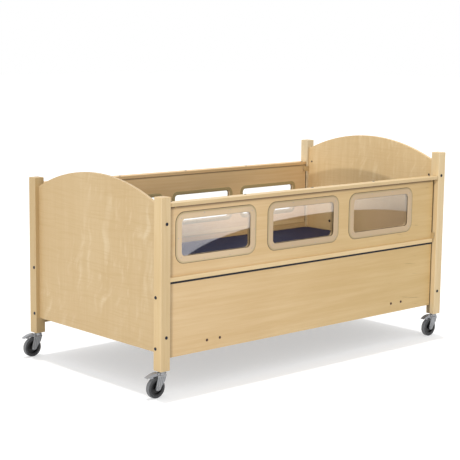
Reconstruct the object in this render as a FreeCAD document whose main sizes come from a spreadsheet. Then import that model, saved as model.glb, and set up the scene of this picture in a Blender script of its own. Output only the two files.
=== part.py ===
import FreeCAD
import Part
import Sketcher
import math
import os

# Safety bed: four square maple posts on braked casters, arched end panels, fixed lower side panels
# and two folding side rails with three clear windows each, round a mattress on a steel and slat base.
# The foot end is at -X, the head end at +X, the front long side at -Y. Sizes are in millimetres.

# Sizes

SIZES = {
    # outline and posts
    "bed_length": 2101.2,
    "bed_width": 1105,
    "post_side": 57,
    "post_round": 3,
    "post_chamfer": 2.5,
    "foot_post_tall": 835,
    "head_post_tall": 941,
    # end panels
    "end_panel_thick": 19,
    "end_panel_recess": 23.3,
    "end_panel_round": 3,
    "foot_panel_low": 81,
    "foot_panel_shoulder": 790.5,
    "foot_panel_rise": 112.5,
    "head_panel_low": 52,
    "head_panel_shoulder": 890,
    "head_panel_rise": 111,
    # side panels and rails
    "side_panel_thick": 19,
    "side_panel_recess": 32,
    "lower_panel_low": 52,
    "lower_panel_top": 415,
    "shadow_groove_wide": 6,
    "shadow_groove_deep": 8,
    "sill_gap": 8,
    "sill_tall": 21,
    "sill_deep": 30.5,
    "sill_round": 3,
    "rail_end_gap": 8,
    "rail_panel_tall": 343,
    "cap_thick": 19,
    "cap_end_gap": 1.5,
    "cap_corner": 10,
    "cap_round": 2.5,
    # windows
    "pane_thick": 4,
    "pane_margin": 15,
    "outer_trim_side_band": 37,
    "outer_trim_edge_band": 33.5,
    "outer_trim_thick": 3.5,
    "outer_trim_corner": 52,
    "inner_trim_band": 20,
    "inner_trim_thick": 3,
    "front_window_tall": 181,
    "front_window_corner": 22,
    "front_window_above_sill": 94,
    "front_window_bar": 157.6,
    "front_window_foot_end": 86,
    "front_window_head_end": 220,
    "rear_window_tall": 156,
    "rear_window_corner": 18,
    "rear_window_above_sill": 70,
    "rear_window_bar": 107,
    "rear_window_foot_end": 363.6,
    "rear_window_head_end": 109.6,
    # rail pivots, stops and slide bolts
    "pivot_above_sill": 11,
    "pivot_from_post_face": 22.5,
    "pivot_stud": 8,
    "pivot_plate_thick": 3,
    "pivot_plate_tall": 34,
    "pivot_plate_edge": 8.5,
    "pivot_bushing_wall": 3,
    "bushing_long": 16,
    "running_gap": 0.05,
    "stop_plate_thick": 4,
    "stop_plate_tall": 30,
    "stop_plate_below_cap": 10,
    "stop_plate_reach": 30,
    "stop_bumper": 16,
    "stop_bumper_gap": 0.1,
    "slide_bolt": 10,
    "slide_bolt_long": 60,
    "slide_bolt_throw": 14,
    "slide_bolt_from_edge": 16,
    "slide_bolt_end_room": 2,
    "slide_knob": 6,
    "slide_knob_from_tip": 40,
    "slide_knob_drop": 12,
    "slide_slot_gap": 0.3,
    "strike_bushing_wall": 3,
    # fasteners
    "frame_bolt": 8,
    "frame_bolt_head": 15,
    "frame_bolt_head_tall": 3,
    "frame_bolt_head_top": 10,
    "frame_bolt_in_panel": 38,
    "barrel_nut": 12,
    "barrel_nut_short": 2,
    "foot_bolt_low": 163,
    "foot_bolt_high": 708,
    "head_bolt_low": 134,
    "head_bolt_high": 808,
    "side_bolt_low": 106.5,
    "side_bolt_high": 355,
    "head_panel_bolt_apart": 608,
    "head_panel_bolt_high": 449,
    "cap_screw": 5,
    "cap_screw_head": 12,
    "cap_screw_head_tall": 2,
    "cap_screw_in_panel": 32,
    "cap_screw_from_end": 32.1,
    # steel base
    "bearer_apart": 1380,
    "bearer_wide": 60,
    "bearer_tall": 40,
    "bearer_low": 84,
    "tube_wall": 2.5,
    "bearer_plate_wide": 120,
    "bearer_plate_tall": 52,
    "bearer_plate_thick": 4,
    "bearer_bolt_apart": 85,
    "plain_nut": 13,
    "plain_nut_tall": 6.5,
    "base_tube": 40,
    "base_end_gap": 48.3,
    "base_side_gap": 61.5,
    "base_low": 195,
    "cross_tube_count": 3,
    "pedestal": 36,
    "slat_wide": 70,
    "slat_thick": 15,
    "slat_overhang": 10,
    "slat_count": 14,
    # mattress
    "mattress_end_gap": 8.3,
    "mattress_side_gap": 9,
    "mattress_thick": 149.7,
    "mattress_gap": 0.3,
    "mattress_corner": 46,
    "mattress_edge": 20,
    "mattress_waist": 5,
    "mattress_crown": 7,
    # corner braces
    "brace_thick": 3,
    "brace_leg": 36,
    "brace_low": 72,
    "brace_tall": 60,
    # casters
    "caster_tall": 129,
    "caster_trail": 38,
    "stem": 11,
    "stem_in_post": 70,
    "stem_flange": 44,
    "stem_flange_thick": 3,
    "race_gap": 0.4,
    "race_across": 44,
    "race_upper_across": 37,
    "race_step": 6,
    "race_low": 16,
    "crown_thick": 4,
    "fork_wide": 38,
    "fork_leg": 3,
    "fork_front": 16,
    "fork_rear": 34,
    "fork_foot": 12,
    "fork_toe": 19,
    "fork_knee_front": 6,
    "fork_knee_low": 48,
    "fork_bend": 6,
    "axle": 8,
    "axle_head": 15,
    "axle_head_tall": 4,
    "wheel_across": 100,
    "wheel_wide": 28,
    "tyre_shoulder": 7,
    "hub_across": 74,
    "hub_rim": 7,
    "hub_rim_wide": 24,
    "hub_boss": 24,
    "hub_boss_wide": 31,
    "hub_web": 6,
    "pedal_pin": 4,
    "pedal_barrel": 9,
    "pedal_pivot_back": 29,
    "pedal_pivot_low": 10,
    "pedal_wide": 25.6,
    "pedal_wall": 2.5,
    "pedal_hood_far": 84,
    "pedal_hood_near": 44,
    "pedal_hood_drop": 7,
    "pedal_hood_arc": 90,
    "pedal_hood_skirt": 10,
    "pedal_reach": 95,
    "pedal_lip_drop": 5,
    "pedal_lip_thick": 3,
    "pedal_shoe_near": 62,
    "pedal_shoe_far": 72,
    "pedal_shoe_low": 29,
    "ear_thick": 3,
    "ear_tall": 10,
    "ear_long": 9,
    # room past the end of each pivot stud, and room that cuts run past the faces they open
    "pivot_end_room": 1,
    "overrun": 5,
}

doc = FreeCAD.newDocument("SafetyBed")
sheet = doc.addObject("Spreadsheet::Sheet", "Sizes")
for row, (name, value) in enumerate(SIZES.items(), 1):
    sheet.set(f"A{row}", name)
    sheet.set(f"B{row}", str(value))
    sheet.setAlias(f"B{row}", name)
doc.recompute()


class Size:
    """A length or a place, as its value now and as the formula that gives it from the sheet."""

    def __init__(self, value, formula):
        self.value = float(value)
        self.formula = formula

    def __add__(self, other):
        other = size(other)
        return Size(self.value + other.value, f"({self.formula} + {other.formula})")

    def __sub__(self, other):
        other = size(other)
        return Size(self.value - other.value, f"({self.formula} - {other.formula})")

    def __mul__(self, other):
        other = size(other)
        return Size(self.value * other.value, f"({self.formula} * {other.formula})")

    def __truediv__(self, other):
        other = size(other)
        return Size(self.value / other.value, f"({self.formula} / {other.formula})")

    def __neg__(self):
        return Size(-self.value, f"(0 - {self.formula})")

    __radd__ = __add__
    __rmul__ = __mul__


def size(thing):
    """A sheet value by its name, or a plain number as it is."""
    if isinstance(thing, Size):
        return thing
    if isinstance(thing, str):
        return Size(sheet.get(thing), f"Sizes.{thing}")
    return Size(thing, repr(thing))


def span(side, near, far):
    """The low and high place of what lies between two distances from the middle, on one side."""
    if side < 0:
        return -size(far), -size(near)
    return size(near), size(far)


def about(middle, across):
    """The low and high place of what is centred on a place."""
    return size(middle) - size(across) / 2, size(middle) + size(across) / 2


# Main places, from the middle of the posts' outline and from the bottom of the posts

HALF_LONG = size("bed_length") / 2
HALF_WIDE = size("bed_width") / 2
POST_INNER_X = HALF_LONG - size("post_side")
POST_INNER_Y = HALF_WIDE - size("post_side")
POST_MID_X = HALF_LONG - size("post_side") / 2
POST_MID_Y = HALF_WIDE - size("post_side") / 2
END_OUTER = HALF_LONG - size("end_panel_recess")
END_INNER = END_OUTER - size("end_panel_thick")
END_MID = END_OUTER - size("end_panel_thick") / 2
SIDE_OUTER = HALF_WIDE - size("side_panel_recess")
SIDE_INNER = SIDE_OUTER - size("side_panel_thick")
SIDE_MID = SIDE_OUTER - size("side_panel_thick") / 2
SILL_LOW = size("lower_panel_top") + size("sill_gap")
SILL_TOP = SILL_LOW + size("sill_tall")
CAP_LOW = SILL_TOP + size("rail_panel_tall")
CAP_TOP = CAP_LOW + size("cap_thick")
RAIL_HALF = POST_INNER_X - size("rail_end_gap")
CAP_HALF = POST_INNER_X - size("cap_end_gap")
PIVOT_Y = HALF_WIDE - size("pivot_from_post_face")
PIVOT_Z = SILL_TOP + size("pivot_above_sill")
SLIDE_Y = HALF_WIDE - size("slide_bolt_from_edge")
SLIDE_Z = CAP_LOW + size("cap_thick") / 2

# The origin is on the floor, under the middle of the whole outline, with the brake pedals behind the
# foot posts and the bolt heads on the head posts.

PEDAL_OVERHANG = size("pedal_reach") - size("post_side") / 2
ORIGIN = ((PEDAL_OVERHANG - size("frame_bolt_head_tall")) / 2, size(0), size("caster_tall"))

# Helpers that bind every length and place to the sheet


def bind(thing, prop, value):
    thing.setExpression(prop, size(value).formula)


def seat(thing, x, y, z):
    for axis, value, origin in zip("xyz", (x, y, z), ORIGIN):
        bind(thing, "Placement.Base." + axis, origin + size(value))
    return thing


def block(name, x, y, z):
    box = doc.addObject("Part::Box", name)
    for prop, (low, high) in zip(("Length", "Width", "Height"), (x, y, z)):
        bind(box, prop, high - low)
    return seat(box, x[0], y[0], z[0])


TURNS = {
    ("x", 1): FreeCAD.Rotation(FreeCAD.Vector(0, 1, 0), 90),
    ("x", -1): FreeCAD.Rotation(FreeCAD.Vector(0, 1, 0), -90),
    ("y", 1): FreeCAD.Rotation(FreeCAD.Vector(1, 0, 0), -90),
    ("y", -1): FreeCAD.Rotation(FreeCAD.Vector(1, 0, 0), 90),
    ("z", 1): FreeCAD.Rotation(),
    ("z", -1): FreeCAD.Rotation(FreeCAD.Vector(1, 0, 0), 180),
}


def rod(name, axis, side, start, across, long):
    """A round bar that starts at a place and runs along an axis."""
    bar = doc.addObject("Part::Cylinder", name)
    bar.Placement = FreeCAD.Placement(FreeCAD.Vector(), TURNS[axis, side])
    bind(bar, "Radius", size(across) / 2)
    bind(bar, "Height", long)
    return seat(bar, *start)


def cone(name, axis, side, start, across, top_across, tall):
    tip = doc.addObject("Part::Cone", name)
    tip.Placement = FreeCAD.Placement(FreeCAD.Vector(), TURNS[axis, side])
    bind(tip, "Radius1", size(across) / 2)
    bind(tip, "Radius2", size(top_across) / 2)
    bind(tip, "Height", tall)
    return seat(tip, *start)


def join(name, *pieces):
    whole = doc.addObject("Part::MultiFuse", name)
    whole.Shapes = list(pieces)
    return whole


def cut(name, base, *tools):
    rest = doc.addObject("Part::Cut", name)
    rest.Base = base
    rest.Tool = tools[0] if len(tools) == 1 else join(name + "_tools", *tools)
    return rest


def group(name, *pieces):
    together = doc.addObject("Part::Compound", name)
    together.Links = list(pieces)
    return together


def outline(sketch, corners):
    """A closed outline. Each corner is x, y and the radius of the arc to the next corner, or 0."""
    corners = [tuple(size(value) for value in corner) for corner in corners]
    first = sketch.GeometryCount
    count = len(corners)
    for i, (x, y, radius) in enumerate(corners):
        after = corners[(i + 1) % count]
        start = FreeCAD.Vector(x.value, y.value, 0)
        end = FreeCAD.Vector(after[0].value, after[1].value, 0)
        if radius.value == 0:
            sketch.addGeometry(Part.LineSegment(start, end), False)
            continue
        chord = end - start
        rise = math.sqrt(max(radius.value ** 2 - (chord.Length / 2) ** 2, 0))
        across = FreeCAD.Vector(-chord.y, chord.x, 0).normalize()
        centre = (start + end) / 2 + across * rise
        angles = [math.atan2(p.y - centre.y, p.x - centre.x) for p in (start, end)]
        circle = Part.Circle(centre, FreeCAD.Vector(0, 0, 1), radius.value)
        sketch.addGeometry(Part.ArcOfCircle(circle, *angles), False)
    for i, (x, y, radius) in enumerate(corners):
        line = first + i
        before = first + (i - 1) % count
        sketch.addConstraint(Sketcher.Constraint("Coincident", before, 2, line, 1))
        for kind, value in (("DistanceX", x), ("DistanceY", y)):
            number = sketch.addConstraint(Sketcher.Constraint(kind, -1, 1, line, 1, value.value))
            sketch.setExpression(f"Constraints[{number}]", value.formula)
        if radius.value:
            number = sketch.addConstraint(Sketcher.Constraint("Radius", line, radius.value))
            sketch.setExpression(f"Constraints[{number}]", radius.formula)


def rounded(sketch, x, y, corner):
    """A rectangle with four rounded corners."""
    (x0, x1), (y0, y1), r = x, y, size(corner)
    outline(sketch, [
        (x0 + r, y0, 0), (x1 - r, y0, r), (x1, y0 + r, 0), (x1, y1 - r, r),
        (x1 - r, y1, 0), (x0 + r, y1, r), (x0, y1 - r, 0), (x0, y0 + r, r),
    ])


def rectangle(sketch, x, y):
    outline(sketch, [(x[0], y[0], 0), (x[1], y[0], 0), (x[1], y[1], 0), (x[0], y[1], 0)])


def sketch_on(body, role, name):
    plane = next(feature for feature in body.Origin.OriginFeatures if feature.Role == role)
    sketch = body.newObject("Sketcher::SketchObject", name)
    sketch.AttachmentSupport = (plane, [""])
    sketch.MapMode = "FlatFace"
    return sketch


def padded(name, role, draw, thick, place):
    """A body made by padding one sketch, which draw fills, and set at its place."""
    body = doc.addObject("PartDesign::Body", name)
    sketch = sketch_on(body, role, name + "_outline")
    draw(sketch)
    pad = body.newObject("PartDesign::Pad", name + "_pad")
    pad.Profile = sketch
    bind(pad, "Length", thick)
    return seat(body, *place)


def pocket(body, role, name, draw, level, deep, into=False):
    """A pocket from a level above the sketch plane, cut down from there, or up with into."""
    sketch = sketch_on(body, role, name + "_outline")
    bind(sketch, "AttachmentOffset.Base.z", level)
    draw(sketch)
    body.recompute(True)
    before = body.Shape.Volume
    hole = body.newObject("PartDesign::Pocket", name)
    hole.Profile = sketch
    bind(hole, "Length", deep)
    hole.Reversed = into
    body.recompute(True)
    if not body.Shape.Volume < before:
        raise RuntimeError(name + " cuts nothing")


def eased(body, kind, name, radius, wanted, of="Face"):
    """Rounds or bevels the edges that wanted picks, or every edge of the faces that it picks."""
    body.recompute(True)
    tip = body.Tip
    shapes = tip.Shape.Faces if of == "Face" else tip.Shape.Edges
    picked = [f"{of}{i}" for i, shape in enumerate(shapes, 1) if wanted(shape)]
    feature = body.newObject("PartDesign::" + kind, name)
    feature.Base = (tip, picked)
    bind(feature, "Radius" if kind == "Fillet" else "Size", radius)


def faces_along(axis, sign=0):
    """Picks flat faces that look along an axis, one way or both."""
    def wanted(face):
        normal = face.normalAt(0, 0)
        along = normal[axis]
        return abs(along) > 0.999 and (sign == 0 or along * sign > 0)
    return wanted


def curved(edge):
    return isinstance(edge.Curve, Part.Circle)


def turned(name, draw, place):
    """A body turned about a line along Y through its place."""
    body = doc.addObject("PartDesign::Body", name)
    sketch = sketch_on(body, "YZ_Plane", name + "_section")
    draw(sketch)
    spin = body.newObject("PartDesign::Revolution", name + "_turn")
    spin.Profile = sketch
    spin.ReferenceAxis = (sketch, ["H_Axis"])
    spin.Angle = 360
    return seat(body, *place)


NODES = {}


def node(name, thing):
    thing.Label = name
    NODES[name] = thing
    return thing


ENDS = (("foot", -1), ("head", 1))
SIDES = (("front", -1), ("rear", 1))
CORNERS = [(end, ex, side, sy) for end, ex in ENDS for side, sy in SIDES]
OVER = size("overrun")

# Bolts of the frame: a low round head, a shank and a barrel nut across it

bolts = []
nuts = []
holes = {}


def bolt(owners, name, axis, side, start, long):
    """A black bolt whose head stands on a face at start and whose shank runs inward from there."""
    head = cone(name + "_head", axis, side, start, "frame_bolt_head", "frame_bolt_head_top",
                "frame_bolt_head_tall")
    shank = rod(name + "_shank", axis, -side, start, "frame_bolt", long)
    bolts.append(join(name, head, shank))
    for owner in owners:
        holes.setdefault(owner, []).append(shank)
    return shank


def barrel_nut(owner, name, axis, side, start, shank):
    """A round nut that lies across the panel, from its inner face outward."""
    long = size("end_panel_thick" if axis == "x" else "side_panel_thick") - size("barrel_nut_short")
    blank = rod(name + "_blank", axis, side, start, "barrel_nut", long)
    nuts.append(cut(name, blank, shank))
    holes.setdefault(owner, []).append(blank)


IN_PANEL = size("post_side") + size("frame_bolt_in_panel")
NUT_AT = size("post_side") + size("frame_bolt_in_panel") - size("barrel_nut")
for end, ex, side, sy in CORNERS:
    post = f"{end}_post_{side}"
    for level in ("low", "high"):
        z = size(f"{end}_bolt_{level}")
        x = ex * END_MID
        shank = bolt([post, f"{end}_panel"], f"{post}_{level}_bolt", "y", sy, (x, sy * HALF_WIDE, z),
                     IN_PANEL)
        barrel_nut(f"{end}_panel", f"{post}_{level}_nut", "x", ex,
                   (ex * END_INNER, sy * (HALF_WIDE - NUT_AT), z), shank)
        z = size(f"side_bolt_{level}")
        y = sy * SIDE_MID
        shank = bolt([post, f"{side}_lower_panel"], f"{post}_{level}_side_bolt", "x", ex,
                     (ex * HALF_LONG, y, z), IN_PANEL)
        barrel_nut(f"{side}_lower_panel", f"{post}_{level}_side_nut", "y", sy,
                   (ex * (HALF_LONG - NUT_AT), sy * SIDE_INNER, z), shank)

# Bolts that hold the cross bearers to the lower panels, with plain nuts behind the bearers' plates

BEARER_Z = size("bearer_low") + size("bearer_tall") / 2
for end, ex in ENDS:
    for side, sy in SIDES:
        for turn in (-1, 1):
            x = ex * size("bearer_apart") / 2 + turn * size("bearer_bolt_apart") / 2
            name = f"{end}_{side}_bearer_bolt_{turn + 1}"
            reach = size("side_panel_thick") + size("bearer_plate_thick") + size("plain_nut_tall")
            shank = bolt([f"{side}_lower_panel", "bearers"], name, "y", sy, (x, sy * SIDE_OUTER, BEARER_Z),
                         reach)
            blank = rod(name + "_nut_blank", "y", -sy,
                        (x, sy * (SIDE_INNER - size("bearer_plate_thick")), BEARER_Z), "plain_nut",
                        "plain_nut_tall")
            nuts.append(cut(name + "_nut", blank, shank))

# Two bolts through the head panel, headed on both faces

for side, sy in SIDES:
    y = sy * size("head_panel_bolt_apart") / 2
    z = size("head_panel_bolt_high")
    name = f"head_panel_bolt_{side}"
    inner = cone(name + "_inner", "x", -1, (END_INNER, y, z), "frame_bolt_head", "frame_bolt_head_top",
                 "frame_bolt_head_tall")
    outer = cone(name + "_outer", "x", 1, (END_OUTER, y, z), "frame_bolt_head", "frame_bolt_head_top",
                 "frame_bolt_head_tall")
    shank = rod(name + "_shank", "x", 1, (END_INNER, y, z), "frame_bolt", "end_panel_thick")
    bolts.append(join(name, inner, shank, outer))
    holes.setdefault("head_panel", []).append(shank)

node("frame_bolts", group("frame_bolts", *bolts))
node("frame_nuts", group("frame_nuts", *nuts))

# Bushings in the posts for the rails' pivot studs and slide bolts

bushings = []


def bushing(post, name, start, ex, bore, wall):
    outside = size(bore) + 2 * size(wall)
    blank = rod(name + "_blank", "x", ex, start, outside, "bushing_long")
    hole = rod(name + "_bore", "x", ex, start, size(bore) + 2 * size("running_gap"), "bushing_long")
    bushings.append(cut(name, blank, hole))
    holes.setdefault(post, []).append(blank)


for end, ex, side, sy in CORNERS:
    post = f"{end}_post_{side}"
    bushing(post, post + "_pivot_bushing", (ex * POST_INNER_X, sy * PIVOT_Y, PIVOT_Z), ex, "pivot_stud",
            "pivot_bushing_wall")
    bushing(post, post + "_strike_bushing", (ex * POST_INNER_X, sy * SLIDE_Y, SLIDE_Z), ex, "slide_bolt",
            "strike_bushing_wall")
node("post_bushings", group("post_bushings", *bushings))

# Caster stems: a flange under the post, a stem in it and a king pin below for the fork

stems = []
for end, ex, side, sy in CORNERS:
    x = ex * POST_MID_X
    y = sy * POST_MID_Y
    name = f"{end}_{side}_stem"
    stem = rod(name + "_rod", "z", 1, (x, y, 0), "stem", "stem_in_post")
    flange = rod(name + "_flange", "z", -1, (x, y, 0), "stem_flange", "stem_flange_thick")
    pin = rod(name + "_king_pin", "z", -1, (x, y, 0), "stem", "race_low")
    stems.append(join(name, stem, flange, pin))
    holes.setdefault(f"{end}_post_{side}", []).append(stem)
node("caster_stems", group("caster_stems", *stems))

# Posts

for end, ex, side, sy in CORNERS:
    name = f"{end}_post_{side}"

    def square(sketch):
        half = size("post_side") / 2
        rounded(sketch, (-half, half), (-half, half), "post_round")

    stock = padded(name + "_stock", "XY_Plane", square, f"{end}_post_tall",
                   (ex * POST_MID_X, sy * POST_MID_Y, 0))
    eased(stock, "Chamfer", name + "_bevel", "post_chamfer", faces_along(2, 1))
    node(name, cut(name, stock, *holes[name]))

# End panels with their arched tops


def arch(end):
    low = size(f"{end}_panel_low")
    shoulder = size(f"{end}_panel_shoulder")
    rise = size(f"{end}_panel_rise")
    radius = (POST_INNER_Y * POST_INNER_Y + rise * rise) / (2 * rise)

    def draw(sketch):
        outline(sketch, [
            (-POST_INNER_Y, low, 0), (POST_INNER_Y, low, 0),
            (POST_INNER_Y, shoulder, radius), (-POST_INNER_Y, shoulder, 0),
        ])
    return draw


for end, ex in ENDS:
    name = f"{end}_panel"
    low_x = -END_OUTER if ex < 0 else END_INNER
    board = padded(name + "_board", "YZ_Plane", arch(end), "end_panel_thick", (low_x, 0, 0))
    eased(board, "Fillet", name + "_round", "end_panel_round", curved, "Edge")
    node(name, cut(name, board, *holes[name]))

# Lower side panels, with a shadow groove down each end of the outer face

for side, sy in SIDES:
    name = f"{side}_lower_panel"
    high = (size("lower_panel_low"), size("lower_panel_top"))
    top_y = -SIDE_INNER if sy < 0 else SIDE_OUTER

    def board_outline(sketch, high=high):
        rectangle(sketch, (-POST_INNER_X, POST_INNER_X), high)

    def grooves(sketch, high=high):
        long = (high[0] - OVER, high[1] + OVER)
        edge = POST_INNER_X - size("shadow_groove_wide")
        rectangle(sketch, (-POST_INNER_X - OVER, -edge), long)
        rectangle(sketch, (edge, POST_INNER_X + OVER), long)

    board = padded(name + "_board", "XZ_Plane", board_outline, "side_panel_thick", (0, top_y, 0))
    outer_level = size("side_panel_thick") if sy < 0 else size(0)
    pocket(board, "XZ_Plane", name + "_grooves", grooves, outer_level, "shadow_groove_deep", sy > 0)
    node(name, cut(name, board, *holes[name]))

# Folding rails. Each has a panel with three windows, a cap, a sill, panes, trims and pivot plates.


def window_places(side):
    """Three windows of one length, with a bar between each two, that fill the panel up to its two ends."""
    bar = size(f"{side}_window_bar")
    first = size(f"{side}_window_foot_end") - RAIL_HALF
    last = RAIL_HALF - size(f"{side}_window_head_end")
    long = (last - first - 2 * bar) / 3
    low = SILL_TOP + size(f"{side}_window_above_sill")
    tall = size(f"{side}_window_tall")
    starts = [first + step * (long + bar) for step in (0, 1, 2)]
    return [((start, start + long), (low, low + tall)) for start in starts]


def grown(places, by_x, by_z):
    return [((x[0] - by_x, x[1] + by_x), (z[0] - by_z, z[1] + by_z)) for x, z in places]


def openings(places, corner):
    def draw(sketch):
        for x, z in places:
            rounded(sketch, x, z, corner)
    return draw


def rings(name, inside, inner_corner, outside, outer_corner, thick, top_y):
    """Flat trim rings round a row of windows."""
    made = []
    for i, (hole, edge) in enumerate(zip(inside, outside)):
        def draw(sketch, hole=hole, edge=edge):
            rounded(sketch, *edge, outer_corner)
            rounded(sketch, *hole, inner_corner)
        made.append(padded(f"{name}_{i}", "XZ_Plane", draw, thick, (0, top_y, 0)))
    return made


def top_face(sy, near, far):
    """The high Y face of a layer that lies between two distances from the middle."""
    return -near if sy < 0 else far


for side, sy in SIDES:
    windows = window_places(side)
    corner = size(f"{side}_window_corner")
    margin = size("pane_margin")
    outer_level = size("side_panel_thick") if sy < 0 else size(0)
    inner_level = size(0) if sy < 0 else size("side_panel_thick")

    # cap screws: a row along the cap, down into the panel
    screws = []
    screw_shanks = []
    for step in (-2, -1, 0, 1, 2):
        at = (step * (CAP_HALF - size("cap_screw_from_end")) / 2, sy * SIDE_MID, CAP_TOP)
        name = f"{side}_cap_screw_{step + 2}"
        long = size("cap_thick") + size("cap_screw_in_panel")
        head = rod(name + "_head", "z", 1, at, "cap_screw_head", "cap_screw_head_tall")
        shank = rod(name + "_shank", "z", -1, at, "cap_screw", long)
        screws.append(join(name, head, shank))
        screw_shanks.append(shank)
    node(f"{side}_cap_screws", group(f"{side}_cap_screws", *screws))

    # panel
    name = f"{side}_rail_panel"

    def board_outline(sketch, windows=windows, corner=corner):
        rectangle(sketch, (-RAIL_HALF, RAIL_HALF), (SILL_TOP, CAP_LOW))
        openings(windows, corner)(sketch)

    board = padded(name + "_board", "XZ_Plane", board_outline, "side_panel_thick",
                   (0, top_face(sy, SIDE_INNER, SIDE_OUTER), 0))
    pocket(board, "XZ_Plane", name + "_pane_seats", openings(grown(windows, margin, margin), corner + margin),
           outer_level, "pane_thick", sy > 0)
    node(name, cut(name, board, *screw_shanks))

    # panes, in the seats flush with the outer face
    panes = []
    for i, place in enumerate(grown(windows, margin, margin)):
        near = SIDE_OUTER - size("pane_thick")
        panes.append(padded(f"{side}_pane_{i}", "XZ_Plane", openings([place], corner + margin), "pane_thick",
                            (0, top_face(sy, near, SIDE_OUTER), 0)))
    node(f"{side}_panes", group(f"{side}_panes", *panes))

    # trims, outside over the panes' edges and inside round the openings
    outer = grown(windows, size("outer_trim_side_band"), size("outer_trim_edge_band"))
    band = size("inner_trim_band")
    node(f"{side}_outer_trims", group(f"{side}_outer_trims", *rings(
        f"{side}_outer_trim", windows, corner, outer, "outer_trim_corner", "outer_trim_thick",
        top_face(sy, SIDE_OUTER, SIDE_OUTER + size("outer_trim_thick")))))
    node(f"{side}_inner_trims", group(f"{side}_inner_trims", *rings(
        f"{side}_inner_trim", windows, corner, grown(windows, band, band), corner + band, "inner_trim_thick",
        top_face(sy, SIDE_INNER - size("inner_trim_thick"), SIDE_INNER))))

    # sill under the panel
    sill_far = SIDE_INNER + size("sill_deep")

    def sill_section(sketch, sy=sy, sill_far=sill_far):
        rectangle(sketch, (-RAIL_HALF, RAIL_HALF), (SILL_LOW, SILL_TOP))

    sill = padded(f"{side}_sill_stock", "XZ_Plane", sill_section, "sill_deep",
                  (0, top_face(sy, SIDE_INNER, sill_far), 0))
    eased(sill, "Fillet", f"{side}_sill_round", "sill_round", faces_along(1, sy))
    node(f"{side}_sill", sill)

    # cap on top, flush with the posts' long face, with bores and slots for its slide bolts
    def cap_outline(sketch, sy=sy):
        rounded(sketch, (-CAP_HALF, CAP_HALF), span(sy, SIDE_INNER, HALF_WIDE), "cap_corner")

    cap = padded(f"{side}_cap_stock", "XY_Plane", cap_outline, "cap_thick", (0, 0, CAP_LOW))
    eased(cap, "Fillet", f"{side}_cap_round", "cap_round", faces_along(2))
    tools = list(screw_shanks)
    bore_deep = size("slide_bolt_long") + size("slide_bolt_end_room")
    for end, ex in ENDS:
        start = (ex * CAP_HALF, sy * SLIDE_Y, SLIDE_Z)
        label = f"{end}_{side}_slide"
        tools.append(rod(label + "_bore", "x", -ex, start, "slide_bolt", bore_deep))
        knob_at = CAP_HALF - size("slide_knob_from_tip")
        clear = size("slide_knob") / 2 + size("slide_slot_gap")
        tools.append(block(label + "_slot",
                           span(ex, knob_at - clear, knob_at + size("slide_bolt_throw") + clear),
                           (sy * SLIDE_Y - clear, sy * SLIDE_Y + clear), (CAP_LOW - OVER, SLIDE_Z)))
    node(f"{side}_top_cap", cut(f"{side}_top_cap", cap, *tools))

    # slide bolts, drawn back in the cap, with a knob that hangs through the slot
    for end, ex in ENDS:
        label = f"{end}_{side}_slide_bolt"
        thin = size("slide_bolt") - 2 * size("running_gap")
        bar = rod(label + "_bar", "x", -ex, (ex * CAP_HALF, sy * SLIDE_Y, SLIDE_Z), thin, "slide_bolt_long")
        knob_at = CAP_HALF - size("slide_knob_from_tip")
        drop = size("cap_thick") / 2 + size("slide_knob_drop")
        knob = rod(label + "_knob", "z", -1, (ex * knob_at, sy * SLIDE_Y, SLIDE_Z), "slide_knob", drop)
        node(label, join(label, bar, knob))

    # pivot plates on the panel's end edges, each with its stud
    plates = []
    for end, ex in ENDS:
        label = f"{end}_{side}_pivot"
        x = span(ex, RAIL_HALF, RAIL_HALF + size("pivot_plate_thick"))
        z = (SILL_TOP, SILL_TOP + size("pivot_plate_tall"))
        plate = block(label + "_plate", x, span(sy, SIDE_INNER, PIVOT_Y + size("pivot_plate_edge")), z)
        reach = size("rail_end_gap") + size("bushing_long") - size("pivot_end_room")
        stud = rod(label + "_stud", "x", ex, (ex * RAIL_HALF, sy * PIVOT_Y, PIVOT_Z), "pivot_stud", reach)
        plates.append(join(label, plate, stud))
    node(f"{side}_pivot_plates", group(f"{side}_pivot_plates", *plates))

# Rail stops: a plate on each post's inner face, with a rubber bumper that the rail closes against

stops = []
bumpers = []
for end, ex, side, sy in CORNERS:
    label = f"{end}_{side}_stop"
    high = CAP_LOW - size("stop_plate_below_cap")
    near = POST_INNER_X - size("stop_plate_reach")
    stops.append(block(label, span(ex, near, END_INNER),
                       span(sy, POST_INNER_Y - size("stop_plate_thick"), POST_INNER_Y),
                       (high - size("stop_plate_tall"), high)))
    centre = (ex * (near + size("stop_bumper") / 2 + size("pivot_plate_thick")), sy * POST_INNER_Y,
              high - size("stop_plate_tall") / 2)
    long = SIDE_INNER - POST_INNER_Y - size("stop_bumper_gap")
    bumpers.append(rod(label + "_bumper", "y", sy, centre, "stop_bumper", long))
node("rail_stops", group("rail_stops", *stops))
node("stop_bumpers", group("stop_bumpers", *bumpers))

# Corner braces: steel angles between the end panels and the posts

braces = []
for end, ex, side, sy in CORNERS:
    label = f"{end}_{side}_brace"
    z = (size("brace_low"), size("brace_low") + size("brace_tall"))
    thick = size("brace_thick")
    flat = block(label + "_flat", span(ex, END_INNER - thick, END_INNER),
                 span(sy, POST_INNER_Y - size("brace_leg"), POST_INNER_Y), z)
    lug = block(label + "_lug", span(ex, POST_INNER_X, END_INNER), span(sy, POST_INNER_Y - thick, POST_INNER_Y), z)
    braces.append(join(label, flat, lug))
node("corner_braces", group("corner_braces", *braces))

# Cross bearers: a square tube with a plate at each end, bolted behind the lower panels

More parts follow.
